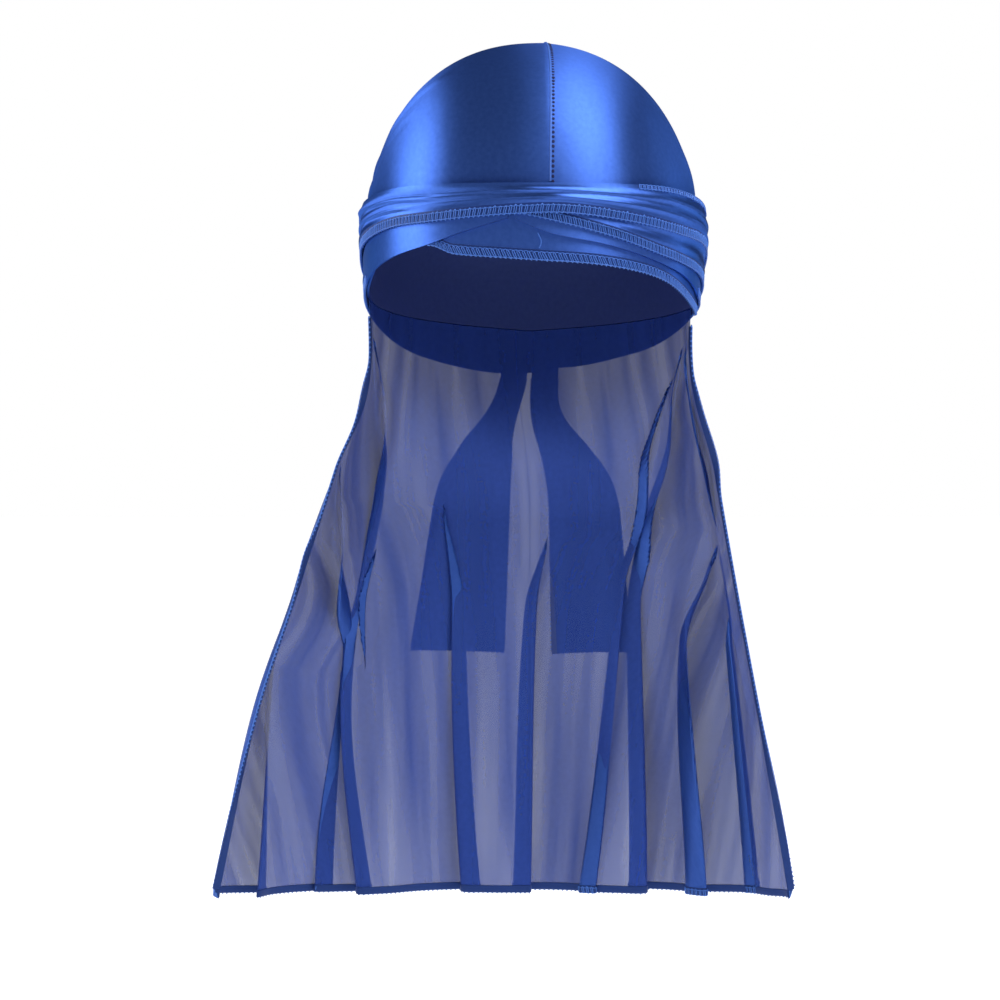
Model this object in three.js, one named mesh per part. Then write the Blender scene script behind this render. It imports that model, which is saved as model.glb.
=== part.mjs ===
// Durag: a satin head wrap of two crown panels joined by a centre seam, an overlocked
// front hem, a long tail of two panels, and two straps that wind round the head, cross on
// the forehead and at the nape, and are tied behind over the tail.
//
// Millimetres. +Z is up, the wearer looks along -Y, and the wearer's left is +X.
// The origin is the point where the top of the head bears on the inside of the crown.
import * as THREE from 'three';

// Head that the wrap is worn on
const HEAD_HALF_WIDTH = 75.2;
const HEAD_FRONT_REACH = 91;
const HEAD_BACK_REACH = 97;
const CROWN_DEPTH = 92;            // from the top of the head down to its widest level
const HEAD_ROUNDNESS = 2.2;        // exponent of the superellipses; 2 is an ellipse
const NAPE_TUCK = 17;              // how far the back has drawn in NAPE_DROP lower
const SIDE_TUCK = 2.5;
const NAPE_DROP = 60;
const LOWEST_NAPE = 96;            // below the widest level, where the head is cut off
const TUCK_BEND = 1.6;             // exponent: the nape draws in faster the lower it is

// Cloth
const CLOTH = 1.0;                 // wall of the crown panels and of the tail
const STRAP_CLOTH = 1.1;           // a strap is doubled, so it is a little thicker
const PIECE_GAP = 0.3;             // between pieces that are sewn or lie side by side
const STRAP_GAP = 0.35;            // between one turn of a strap and the next
const STRAP_SEAT_GAP = 0.6;        // between the innermost turn and the cloth under it

// Crown, seam and hems
const SEAM_TURN = 4.5;             // the wrap sits turned on the head by this many degrees
const SEAM_SHIFT = 5;              // and its seam crosses the top this far to the left
const SEAM_PEAK = 0.6;             // height of the soft ridge along the seam
const SEAM_PEAK_SPREAD = 15;
const PEAK_RUN = 1.6;              // how soon it reaches that height above the widest level
const SEAM_WIDTH = 1.8;
const SEAM_HEIGHT = 0.9;
const SEAM_GAP = 0.4;              // between the ridge and the panels under it
const SEAM_FRONT_END = 0.70;       // where the ridge ends, as shares of the way to the rim
const SEAM_BACK_END = 0.78;
const SEAM_TOP_SHARE = 0.04;       // where it crosses the top
const RIM_BELOW_WIDEST = 8;        // of the front edge, below the head's widest level
const RIM_DROP = CROWN_DEPTH + RIM_BELOW_WIDEST;
const HEM_START = -31;             // turns of the front hem's ends, degrees
const HEM_END = 90;
const HEM_HEIGHT = 4.2;
const HEM_THICKNESS = 1.5;

// Tail
const TAIL_LENGTH = 272;           // below the rim, at the middle of the back
const TAIL_HALF_WIDTH = 150;       // half the width at the lower edge, before the folds
const TAIL_DEPTH = 112;            // how far behind the crown's middle the lower edge hangs
const TAIL_CORNER = 80;            // half the turn that the tail's top edge takes, degrees
const TAIL_BLEND = 74;             // the height over which it leaves the head
const TAIL_FOLD_DEPTH = 9;
const TAIL_ROUNDNESS = 0.8;        // exponent of the curve across the hanging tail
const TAIL_HEM_WIDTH = 3.6;
const TAIL_HEM_THICKNESS = 1.5;
const TAIL_HEM_START = 0.03;       // share of the tail's sides above the hem

// Knot and free ends
const KNOT_WIDTH = 36;
const KNOT_HEIGHT = 37;
const KNOT_DEPTH = 17;
const KNOT_LEVEL = 121;            // below the top of the head
const KNOT_GROOVE = 0.07;          // depth of its grooves as a share of its size
const KNOT_GAP = 1.3;              // at its level; the straps bulge nearer just above it
const END_LENGTH = 140;            // of each free end of a strap
const END_WIDTH = 34;
const END_ROOT_WIDTH = 13;
const END_ROOT_INSET = 1;          // from the middle of the knot
const END_CLOTH = 1.2;
const END_GAP = 0.6;               // between an end and the tail's folds
const END_PLACE = 0.19;            // middle of an end, as a share of half the tail
const END_FOLD = 2.2;
const END_SPREAD = 0.45;           // share of its length in which an end takes its full width
const END_SETTLE = 0.3;            // share of its length in which it comes to lie on the tail
const END_FULLNESS = 1.1;          // its width to the tail's that it covers, for its fold
const END_ROOT_PLACE = 0.45;       // its middle at the knot, as a share of END_PLACE

// Facets
const TURN_STEP = 7.5;             // degrees; every piece that is wound shares these stations
const CROWN_ROWS = 14;
const TAIL_COLUMNS = 22;           // on each panel
const TAIL_ROWS = 19;
const STRAP_COLUMNS = 5;
const SEAM_STOPS = 16;             // from each end of the ridge to the top
const KNOT_SEGMENTS = 16;
const KNOT_RINGS = 10;
const END_ROWS = 10;
const END_COLUMNS = 4;
const FOLD_SAMPLES = 8;            // across an end, for the highest fold under it

// Steps over which a direction out of a surface is measured
const TURN_PROBE = 0.5;            // degrees
const HEIGHT_PROBE = 0.4;
const CLOTH_PROBE = 0.004;         // share of the tail, before it is folded
const FOLD_PROBE = 0.006;          // and once it is
const SEAM_PROBE = 0.01;
const NO_LENGTH = 1e-4;            // a triangle's side that has shrunk to nothing

// Lower edge of the crown panels: turn from the front, degrees, and drop as a share of
// RIM_DROP. The edge is higher on the right of the face than on the left.
const RIM = [
  { turn: -180, drop: 1.25 },
  { turn: -130, drop: 1.19 },
  { turn: -100, drop: 1.15 },
  { turn: -75, drop: 1.10 },
  { turn: -55, drop: 1.00 },
  { turn: -31, drop: 0.952 },
  { turn: -15, drop: 0.972 },
  { turn: 0, drop: 0.990 },
  { turn: 20, drop: 1.010 },
  { turn: 40, drop: 1.055 },
  { turn: 70, drop: 1.17 },
  { turn: 100, drop: 1.18 },
  { turn: 130, drop: 1.20 },
  { turn: 180, drop: 1.25 },
];

// Soft creases of the crown, each from one point to another: turns in degrees, heights as
// shares of CROWN_DEPTH, rise and spread in shares of the cloth's wall.
const CREASES = [
  { turn: -58, drop: 0.30, toTurn: -86, toDrop: 0.55, rise: 1.2, spread: 4.5 },
  { turn: -56, drop: 0.48, toTurn: -84, toDrop: 0.72, rise: 1.0, spread: 4.0 },
  { turn: 60, drop: 0.50, toTurn: 84, toDrop: 0.74, rise: 0.8, spread: 5.0 },
];

// Each strap from its root to the knot. Turn is counted from the front towards the strap's
// own side: own temple 75, nape 180, far temple 285, forehead 360, own temple 435, knot 540.
// Top and bottom are shares of CROWN_DEPTH below the top of the head; layer 1 lies on the
// crown or the tail. Gather is the share of the lengthwise folds.
const STRAP_RIGHT = [
  { turn: 7, top: 0.905, bottom: 0.930, layer: 1, gather: 0 },
  { turn: 19, top: 0.905, bottom: 0.987, layer: 1, gather: 0 },
  { turn: 30, top: 0.910, bottom: 1.040, layer: 1, gather: 0 },
  { turn: 45, top: 0.925, bottom: 1.085, layer: 1, gather: 0 },
  { turn: 65, top: 0.970, bottom: 1.155, layer: 1, gather: 0 },
  { turn: 80, top: 1.045, bottom: 1.225, layer: 1, gather: 0 },
  { turn: 110, top: 1.115, bottom: 1.330, layer: 1, gather: 0 },
  { turn: 145, top: 1.235, bottom: 1.500, layer: 2, gather: 0 },
  { turn: 180, top: 1.250, bottom: 1.560, layer: 3, gather: 0 },
  { turn: 215, top: 1.080, bottom: 1.370, layer: 3, gather: 0 },
  { turn: 250, top: 0.890, bottom: 1.150, layer: 3, gather: 0 },
  { turn: 282, top: 0.815, bottom: 1.020, layer: 3, gather: 1 },
  { turn: 315, top: 0.772, bottom: 0.975, layer: 3, gather: 1 },
  { turn: 338, top: 0.770, bottom: 0.930, layer: 3, gather: 1 },
  { turn: 352, top: 0.773, bottom: 0.908, layer: 3, gather: 1 },
  { turn: 364, top: 0.773, bottom: 0.912, layer: 3, gather: 1 },
  { turn: 375, top: 0.769, bottom: 0.921, layer: 2.4, gather: 1 },
  { turn: 390, top: 0.765, bottom: 0.935, layer: 2, gather: 1 },
  { turn: 405, top: 0.765, bottom: 0.945, layer: 2, gather: 1 },
  { turn: 428, top: 0.785, bottom: 0.992, layer: 2, gather: 1 },
  { turn: 447, top: 0.805, bottom: 1.040, layer: 2, gather: 1 },
  { turn: 480, top: 0.905, bottom: 1.190, layer: 3, gather: 1 },
  { turn: 510, top: 1.070, bottom: 1.390, layer: 4, gather: 1 },
  { turn: 532, top: 1.270, bottom: 1.470, layer: 4, gather: 1 },
];
const STRAP_LEFT = [
  { turn: -5, top: 0.905, bottom: 0.935, layer: 1, gather: 0 },
  { turn: 5, top: 0.900, bottom: 1.003, layer: 1, gather: 0 },
  { turn: 19, top: 0.935, bottom: 1.046, layer: 1, gather: 0 },
  { turn: 38, top: 1.000, bottom: 1.118, layer: 1, gather: 0 },
  { turn: 58, top: 1.060, bottom: 1.190, layer: 1, gather: 0 },
  { turn: 75, top: 1.100, bottom: 1.262, layer: 1, gather: 0 },
  { turn: 110, top: 1.135, bottom: 1.330, layer: 1, gather: 0 },
  { turn: 145, top: 1.220, bottom: 1.480, layer: 1, gather: 0 },
  { turn: 180, top: 1.230, bottom: 1.530, layer: 1, gather: 0 },
  { turn: 215, top: 1.010, bottom: 1.210, layer: 1, gather: 0 },
  { turn: 250, top: 0.860, bottom: 1.040, layer: 1, gather: 0 },
  { turn: 282, top: 0.815, bottom: 0.965, layer: 1, gather: 0 },
  { turn: 305, top: 0.785, bottom: 0.905, layer: 1, gather: 0 },
  { turn: 330, top: 0.780, bottom: 0.880, layer: 1, gather: 0 },
  { turn: 345, top: 0.780, bottom: 0.885, layer: 1.4, gather: 0 },
  { turn: 356, top: 0.780, bottom: 0.908, layer: 2, gather: 0 },
  { turn: 364, top: 0.780, bottom: 0.937, layer: 2, gather: 0 },
  { turn: 380, top: 0.785, bottom: 1.004, layer: 2, gather: 0 },
  { turn: 399, top: 0.790, bottom: 1.084, layer: 2, gather: 0 },
  { turn: 432, top: 0.830, bottom: 1.160, layer: 2, gather: 0 },
  { turn: 470, top: 0.900, bottom: 1.240, layer: 2, gather: 0 },
  { turn: 500, top: 0.935, bottom: 1.170, layer: 2, gather: 0 },
  { turn: 519, top: 0.990, bottom: 1.150, layer: 2, gather: 0 },
  { turn: 531, top: 1.075, bottom: 1.215, layer: 4, gather: 0 },
];

// Lengthwise folds of a strap's outer face: place across it and rise as a share of its cloth
const STRAP_FOLDS = [
  { across: 0.0, rise: 0.0 },
  { across: 0.2, rise: 0.5 },
  { across: 0.4, rise: 0.1 },
  { across: 0.6, rise: 0.55 },
  { across: 0.8, rise: 0.1 },
  { across: 1.0, rise: 0.0 },
];

// Tail from its top edge down: drop as a share of TAIL_LENGTH, the reach to each side as a
// share of TAIL_HALF_WIDTH, the depth of the side edges and of the middle as shares of
// TAIL_DEPTH, and the depth of the folds as a share of TAIL_FOLD_DEPTH.
const TAIL_SECTIONS = [
  { drop: 0.00, right: 0.505, left: 0.508, side: 0.13, middle: 0.84, fold: 0.00 },
  { drop: 0.12, right: 0.527, left: 0.530, side: 0.17, middle: 0.80, fold: 0.12 },
  { drop: 0.25, right: 0.605, left: 0.570, side: 0.26, middle: 0.80, fold: 0.35 },
  { drop: 0.45, right: 0.725, left: 0.640, side: 0.42, middle: 0.86, fold: 0.65 },
  { drop: 0.68, right: 0.870, left: 0.725, side: 0.60, middle: 0.95, fold: 0.90 },
  { drop: 1.00, right: 1.000, left: 0.830, side: 0.74, middle: 1.00, fold: 1.00 },
];

// Hanging folds of the tail: place from the right edge, -1, to the left edge, 1, at the
// top and at the bottom, the share of TAIL_FOLD_DEPTH, outwards positive, and the width.
const TAIL_FOLDS = [
  { top: -0.92, bottom: -0.90, depth: 0.7, width: 0.06 },
  { top: -0.74, bottom: -0.70, depth: -0.8, width: 0.07 },
  { top: -0.58, bottom: -0.52, depth: 1.0, width: 0.07 },
  { top: -0.40, bottom: -0.34, depth: -0.8, width: 0.07 },
  { top: -0.24, bottom: -0.19, depth: 0.8, width: 0.06 },
  { top: -0.08, bottom: -0.06, depth: -0.6, width: 0.06 },
  { top: 0.08, bottom: 0.09, depth: 0.6, width: 0.06 },
  { top: 0.24, bottom: 0.24, depth: -0.8, width: 0.07 },
  { top: 0.42, bottom: 0.39, depth: 1.0, width: 0.07 },
  { top: 0.58, bottom: 0.54, depth: -0.9, width: 0.06 },
  { top: 0.75, bottom: 0.70, depth: 0.9, width: 0.07 },
  { top: 0.92, bottom: 0.87, depth: -0.7, width: 0.06 },
];

const SATIN = { color: 0x2f5fb8, roughness: 0.32, metalness: 0 };
const THREAD = { color: 0x4f8fe6, roughness: 0.55, metalness: 0 };

const radians = (degrees) => degrees * Math.PI / 180;
const mix = (from, to, share) => from + (to - from) * share;
const clamp01 = (value) => Math.min(1, Math.max(0, value));
const ease = (value) => {
  const share = clamp01(value);
  return share * share * (3 - 2 * share);
};

// Value of a column of a table at a place along another column, on a smooth curve that
// keeps to the rows and doesn't overshoot.
function tableValue(table, along, place, column) {
  const last = table.length - 1;
  if (place <= table[0][along]) return table[0][column];
  if (place >= table[last][along]) return table[last][column];
  let row = 0;
  while (table[row + 1][along] < place) row += 1;
  const slope = (index) => {
    const before = Math.max(0, index - 1);
    const after = Math.min(last, index + 1);
    const span = table[after][along] - table[before][along];
    return (table[after][column] - table[before][column]) / span;
  };
  const step = table[row + 1][along] - table[row][along];
  const share = (place - table[row][along]) / step;
  const square = share * share;
  const cube = square * share;
  return (2 * cube - 3 * square + 1) * table[row][column]
    + (cube - 2 * square + share) * step * slope(row)
    + (3 * square - 2 * cube) * table[row + 1][column]
    + (cube - square) * step * slope(row + 1);
}

const headPower = (value) => Math.pow(Math.abs(value), HEAD_ROUNDNESS);
const headRoot = (value) => Math.pow(Math.max(0, value), 1 / HEAD_ROUNDNESS);

// Point of the head at a turn from the front, degrees, and a height, which is negative.
function headPoint(turn, height) {
  const angle = radians(turn);
  const belowWidest = -CROWN_DEPTH - height;
  const above = clamp01(-belowWidest / CROWN_DEPTH);
  const shrink = headRoot(1 - headPower(above));
  const tuck = belowWidest > 0 ? Math.pow(belowWidest / NAPE_DROP, TUCK_BEND) : 0;
  const width = (HEAD_HALF_WIDTH - SIDE_TUCK * tuck) * shrink;
  const back = HEAD_BACK_REACH - NAPE_TUCK * tuck;
  const reach = (Math.cos(angle) > 0 ? HEAD_FRONT_REACH : back) * shrink;
  const aside = headPower(Math.sin(angle) / width);
  const ahead = headPower(Math.cos(angle) / reach);
  const radius = 1 / headRoot(aside + ahead);
  return new THREE.Vector3(radius * Math.sin(angle), -radius * Math.cos(angle), height);
}

// Direction out of the head at a turn and a height.
function headNormal(turn, height) {
  const level = Math.min(height, -2 * HEIGHT_PROBE);
  const across = headPoint(turn + TURN_PROBE, level).sub(headPoint(turn - TURN_PROBE, level));
  const up = headPoint(turn, level + HEIGHT_PROBE).sub(headPoint(turn, level - HEIGHT_PROBE));
  return across.cross(up).normalize();
}

// Point at a distance out from the head.
function overHead(turn, height, distance) {
  return headPoint(turn, height).addScaledVector(headNormal(turn, height), distance);
}

// Height of the crown's lower edge at a turn.
function rimHeight(turn) {
  const wrapped = ((turn + 180) % 360 + 360) % 360 - 180;
  return -RIM_DROP * tableValue(RIM, 'turn', wrapped, 'drop');
}

// Rise of the creases of the crown at a turn and a height.
function creaseRise(turn, height) {
  let rise = 0;
  for (const crease of CREASES) {
    const from = headPoint(crease.turn, -CROWN_DEPTH * crease.drop);
    const to = headPoint(crease.toTurn, -CROWN_DEPTH * crease.toDrop);
    const along = to.clone().sub(from);
    const here = headPoint(turn, height).sub(from);
    const share = clamp01(here.dot(along) / along.lengthSq());
    const away = here.sub(along.clone().multiplyScalar(share)).length();
    const fade = Math.sin(Math.PI * mix(0.12, 0.88, share));
    rise += CLOTH * crease.rise * fade * Math.exp(-Math.pow(away / (CLOTH * crease.spread), 2));
  }
  return rise;
}

// Point of the crown: turn counted from the seam, share from the top, 0, to the rim, 1.
function crownPoint(seamTurn, share, distance) {
  const turn = seamTurn + SEAM_TURN;
  const rim = rimHeight(turn);
  const widestShare = CROWN_DEPTH / -rim;
  if (share >= widestShare) {
    return overHead(turn, rim * share, distance);
  }
  const rise = radians(90 * (1 - share / widestShare));
  const height = CROWN_DEPTH * Math.pow(Math.sin(rise), 2 / HEAD_ROUNDNESS) - CROWN_DEPTH;
  if (share === 0) {
    return new THREE.Vector3(SEAM_SHIFT, 0, topHeight(SEAM_SHIFT) + distance + SEAM_PEAK);
  }
  const plain = headPoint(turn, height);
  const shifted = plain.clone();
  shifted.x += SEAM_SHIFT * Math.pow(Math.sin(rise), 2);
  const onto = ontoHead(shifted);
  const place = Math.atan2(onto.x, -onto.y) * 180 / Math.PI;
  const fromSeam = Math.abs(onto.x - seamPlace(rise));
  const peak = SEAM_PEAK * Math.exp(-fromSeam / SEAM_PEAK_SPREAD) * ease(Math.sin(rise) * PEAK_RUN);
  const out = distance + peak + creaseRise(place, onto.z);
  return overHead(place, onto.z, out);
}

// Height of the head's top off its middle, the head taken as its round front profile.
function topHeight(aside) {
  return CROWN_DEPTH * (headRoot(1 - headPower(aside / HEAD_HALF_WIDTH)) - 1);
}

function seamPlace(rise) {
  const front = HEAD_FRONT_REACH * Math.sin(radians(SEAM_TURN));
  return mix(front, SEAM_SHIFT, Math.pow(Math.sin(rise), 2));
}

// A point near the head above its widest level, moved onto it along the line to its middle.
function ontoHead(point) {
  const middle = new THREE.Vector3(0, 0, -CROWN_DEPTH);
  const out = point.clone().sub(middle);
  const reach = out.y < 0 ? HEAD_FRONT_REACH : HEAD_BACK_REACH;
  const size = headRoot(headPower(out.x / HEAD_HALF_WIDTH) + headPower(out.y / reach)
    + headPower(out.z / CROWN_DEPTH));
  return out.divideScalar(size).add(middle);
}

// Lowest height that the straps cover, where the tail starts to leave the head.
function strapBottom(turn) {
  const own = Math.abs(turn);
  const root = tableValue(STRAP_RIGHT, 'turn', own, 'bottom');
  const other = tableValue(STRAP_LEFT, 'turn', own, 'bottom');
  return -CROWN_DEPTH * Math.max(root, other);
}

// Place of a point of the tail: its turn from the front, its height, its drop below the
// rim at the back as a share of the tail, and how far it has left the head.
function tailPlace(place, share) {
  const fromFront = SEAM_TURN + 180 + TAIL_CORNER * place;
  const turn = ((fromFront + 180) % 360 + 360) % 360 - 180;
  const top = rimHeight(turn) - PIECE_GAP;
  const bottom = rimHeight(180) - TAIL_LENGTH;
  const height = mix(top, bottom, share);
  const drop = clamp01((rimHeight(180) - height) / TAIL_LENGTH);
  const leave = ease((strapBottom(turn) - height) / TAIL_BLEND);
  return { turn, height, drop, leave };
}

// Unfolded tail: place from the left edge, -1, to the right edge, 1, and the share of the
// way down.
function tailMiddle(place, share) {
  const { turn, height, drop, leave } = tailPlace(place, share);
  const section = (column) => tableValue(TAIL_SECTIONS, 'drop', drop, column);
  const side = place < 0 ? section('left') : section('right');
  const across = radians(90 * place);
  const towardsMiddle = Math.pow(Math.max(0, Math.cos(across)), TAIL_ROUNDNESS);
  const hanging = new THREE.Vector3(
    -TAIL_HALF_WIDTH * side * Math.sin(across),
    TAIL_DEPTH * mix(section('side'), section('middle'), towardsMiddle),
    height,
  );
  const worn = headPoint(turn, Math.max(height, -CROWN_DEPTH - LOWEST_NAPE));
  worn.z = height;
  return worn.lerp(hanging, leave);
}

function tailFold(place, share) {
  const { drop, leave } = tailPlace(place, share);
  let depth = 0;
  for (const fold of TAIL_FOLDS) {
    const away = (-place - mix(fold.top, fold.bottom, drop)) / fold.width;
    depth += fold.depth * Math.exp(-away * away);
  }
  return TAIL_FOLD_DEPTH * leave * tableValue(TAIL_SECTIONS, 'drop', drop, 'fold') * depth;
}

function tailNormal(place, share) {
  const step = CLOTH_PROBE;
  const across = tailMiddle(place + step, share).sub(tailMiddle(place - step, share));
  const down = tailMiddle(place, share + step).sub(tailMiddle(place, share - step));
  return down.cross(across).normalize();
}

function tailPoint(place, share, distance) {
  const out = distance + tailFold(place, share);
  return tailMiddle(place, share).addScaledVector(tailNormal(place, share), out);
}

// Direction out of the folded tail.
function tailSurfaceNormal(place, share) {
  const step = FOLD_PROBE;
  const across = tailPoint(place + step, share, 0).sub(tailPoint(place - step, share, 0));
  const down = tailPoint(place, share + step, 0).sub(tailPoint(place, share - step, 0));
  return down.cross(across).normalize();
}

function tailOver(place, share, distance) {
  return tailPoint(place, share, 0).addScaledVector(tailSurfaceNormal(place, share), distance);
}

// Closed solid from triangles given as corner points. Triangles that have shrunk to
// nothing are left out, and the whole is turned so that its faces point out.
function solid(triangles) {
  const kept = triangles.filter(([a, b, c]) => (
    Math.min(a.distanceTo(b), b.distanceTo(c), c.distanceTo(a)) > NO_LENGTH
  ));
  const volume = kept.reduce((sum, [a, b, c]) => sum + a.dot(b.clone().cross(c)), 0);
  const positions = [];
  for (const [a, b, c] of kept) {
    const corners = volume > 0 ? [a, b, c] : [a, c, b];
    corners.forEach((corner) => positions.push(corner.x, corner.y, corner.z));
  }
  const geometry = new THREE.BufferGeometry();
  geometry.setAttribute('position', new THREE.Float32BufferAttribute(positions, 3));
  geometry.computeVertexNormals();
  return geometry;
}

function quad(triangles, a, b, c, d) {
  triangles.push([a, b, c], [a, c, d]);
}

// Wall between two skins, each a grid of points of the same size, closed round its edges.
function wall(inner, outer) {
  const triangles = [];
  const rows = inner.length - 1;
  const columns = inner[0].length - 1;
  for (let row = 0; row < rows; row += 1) {
    for (let column = 0; column < columns; column += 1) {
      const next = column + 1;
      quad(triangles, outer[row][column], outer[row + 1][column],
        outer[row + 1][next], outer[row][next]);
      quad(triangles, inner[row][column], inner[row][next],
        inner[row + 1][next], inner[row + 1][column]);
    }
    quad(triangles, outer[row][0], inner[row][0], inner[row + 1][0], outer[row + 1][0]);
    quad(triangles, outer[row][columns], outer[row + 1][columns],
      inner[row + 1][columns], inner[row][columns]);
  }
  for (let column = 0; column < columns; column += 1) {
    const next = column + 1;
    quad(triangles, outer[0][column], outer[0][next], inner[0][next], inner[0][column]);
    quad(triangles, outer[rows][column], inner[rows][column],
      inner[rows][next], outer[rows][next]);
  }
  return solid(triangles);
}

// Bar swept along stations, each a ring of corner points, closed at both ends.
function sweep(rings) {
  const triangles = [];
  const corners = rings[0].length;
  for (let station = 0; station + 1 < rings.length; station += 1) {
    for (let corner = 0; corner < corners; corner += 1) {
      const next = (corner + 1) % corners;
      quad(triangles, rings[station][corner], rings[station + 1][corner],
        rings[station + 1][next], rings[station][next]);
    }
  }
  const last = rings[rings.length - 1];
  for (let corner = 1; corner + 1 < corners; corner += 1) {
    triangles.push([rings[0][0], rings[0][corner], rings[0][corner + 1]]);
    triangles.push([last[0], last[corner + 1], last[corner]]);
  }
  return solid(triangles);
}

function grid(rows, columns, point) {
  return Array.from({ length: rows + 1 }, (_, row) => (
    Array.from({ length: columns + 1 }, (__, column) => point(row / rows, column / columns))
  ));
}

const durag = new THREE.Group();
durag.name = 'durag';

function add(name, geometry, look) {
  const mesh = new THREE.Mesh(geometry, new THREE.MeshStandardMaterial(look));
  mesh.name = name;
  durag.add(mesh);
}

// Half of the crown, from the seam round one side to the seam at the back. A side of 1 is
// the wearer's left.
function crownPanel(side) {
  const columns = 180 / TURN_STEP;
  const frontGap = PIECE_GAP / 2 / HEAD_FRONT_REACH * 180 / Math.PI;
  const skin = (distance) => grid(CROWN_ROWS, columns, (share, way) => {
    const turn = side * mix(frontGap, 180 - frontGap, way);
    const point = crownPoint(turn, share, distance);
    if (share === 0) point.x += side * PIECE_GAP / 2;
    return point;
  });
  return wall(skin(0), skin(CLOTH));
}

// Raised ridge of the centre seam, lying on both panels from the front edge to the back.
function centreSeam() {
  const rings = [];
  const ring = (turn, share) => {
    const middle = crownPoint(turn, share, CLOTH + SEAM_GAP);
    const ahead = crownPoint(turn, share + SEAM_PROBE, CLOTH + SEAM_GAP);
    const above = crownPoint(turn, share, CLOTH + SEAM_GAP + 1);
    const out = above.sub(middle).normalize();
    const along = ahead.sub(middle).normalize();
    if (turn === 0) along.negate();
    const across = along.cross(out).normalize().multiplyScalar(SEAM_WIDTH / 2);
    const top = middle.clone().addScaledVector(out, SEAM_HEIGHT);
    rings.push([
      middle.clone().sub(across),
      middle.clone().add(across),
      top.clone().addScaledVector(across, 0.5),
      top.clone().addScaledVector(across, -0.5),
    ]);
  };
  for (let stop = 0; stop < SEAM_STOPS; stop += 1) {
    ring(0, mix(SEAM_FRONT_END, SEAM_TOP_SHARE, stop / (SEAM_STOPS - 1)));
  }
  for (let stop = 0; stop < SEAM_STOPS; stop += 1) {
    ring(180, mix(SEAM_TOP_SHARE, SEAM_BACK_END, stop / (SEAM_STOPS - 1)));
  }
  return sweep(rings);
}

// Overlocked edge under the crown panels' front edge, from temple to temple.
function frontHem() {
  const rings = [];
  const stations = Math.round((HEM_END - HEM_START) / TURN_STEP);
  const swell = HEM_THICKNESS - CLOTH;
  for (let station = 0; station <= stations; station += 1) {
    const turn = mix(HEM_START, HEM_END, station / stations);
    const top = rimHeight(turn) - PIECE_GAP;
    rings.push([
      overHead(turn, top, -swell / 2),
      overHead(turn, top - HEM_HEIGHT, -swell / 2),
      overHead(turn, top - HEM_HEIGHT, CLOTH + swell / 2),
      overHead(turn, top, CLOTH + swell / 2),
    ]);
  }
  return sweep(rings);
}

// Strap wound from its root near the front edge to the knot. A side of 1 is the wearer's
// left. Its stations keep to the crown's, so that the facets lie on each other.
function strap(side, table) {
  const stations = [];
  const firstTurn = table[0].turn;
  const lastTurn = table[table.length - 1].turn;
  const offset = side * SEAM_TURN;
  const leastStep = 0.2;
  const firstStep = Math.ceil((firstTurn - offset) / TURN_STEP + leastStep);
  const lastStep = Math.floor((lastTurn - offset) / TURN_STEP - leastStep);
  stations.push(firstTurn);
  for (let step = firstStep; step <= lastStep; step += 1) stations.push(step * TURN_STEP + offset);
  stations.push(lastTurn);
  const value = (turn, column) => tableValue(table, 'turn', turn, column);
  const skin = (face) => stations.map((turn) => (
    Array.from({ length: STRAP_COLUMNS + 1 }, (_, column) => {
      const across = column / STRAP_COLUMNS;
      const height = -CROWN_DEPTH * mix(value(turn, 'top'), value(turn, 'bottom'), across);
      const layer = value(turn, 'layer') - 1;
      const lift = CLOTH + STRAP_SEAT_GAP + layer * (STRAP_CLOTH + STRAP_GAP);
      const rise = tableValue(STRAP_FOLDS, 'across', across, 'rise') * value(turn, 'gather');
      return overHead(side * turn, height, lift + face * STRAP_CLOTH * (1 + rise));
    })
  ));
  return wall(skin(0), skin(1));
}

function tailPanel(side) {
  const gap = PIECE_GAP / 2 / TAIL_HALF_WIDTH;
  const skin = (distance) => grid(TAIL_ROWS, TAIL_COLUMNS, (share, way) => (
    tailOver(-side * mix(gap, 1, way), share, distance)
  ));
  return wall(skin(0), skin(CLOTH));
}

// Overlocked border down one side of the tail, along its lower edge and up the other side.
function tailHem() {
  const route = [];
  const down = TAIL_ROWS;
  for (let stop = 0; stop < down; stop += 1) {
    route.push({ place: -1, share: mix(TAIL_HEM_START, 1, stop / down) });
  }
  const across = 2 * TAIL_COLUMNS;
  for (let stop = 0; stop <= across; stop += 1) {
    route.push({ place: mix(-1, 1, stop / across), share: 1 });
  }
  for (let stop = 1; stop <= down; stop += 1) {
    route.push({ place: 1, share: mix(1, TAIL_HEM_START, stop / down) });
  }
  const points = route.map(({ place, share }) => tailOver(place, share, CLOTH / 2));
  const rings = route.map(({ place, share }, index) => {
    const before = points[Math.max(0, index - 1)];
    const after = points[Math.min(points.length - 1, index + 1)];
    const along = after.clone().sub(before).normalize();
    const out = tailSurfaceNormal(place, share);
    const aside = along.clone().cross(out).normalize();
    const middle = points[index];
    const corner = (distance, rise) => middle.clone()
      .addScaledVector(aside, distance)
      .addScaledVector(out, rise * TAIL_HEM_THICKNESS / 2);
    const near = PIECE_GAP;
    const far = PIECE_GAP + TAIL_HEM_WIDTH;
    return [corner(near, -1), corner(far, -1), corner(far, 1), corner(near, 1)];
  });
  return sweep(rings);
}

// The knot stands off the head over three turns of the straps
const knotOut = CLOTH + STRAP_SEAT_GAP + 3 * STRAP_CLOTH + 2 * STRAP_GAP + KNOT_GAP;
const knotMiddle = overHead(180, -KNOT_LEVEL, knotOut + KNOT_DEPTH / 2);

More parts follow.
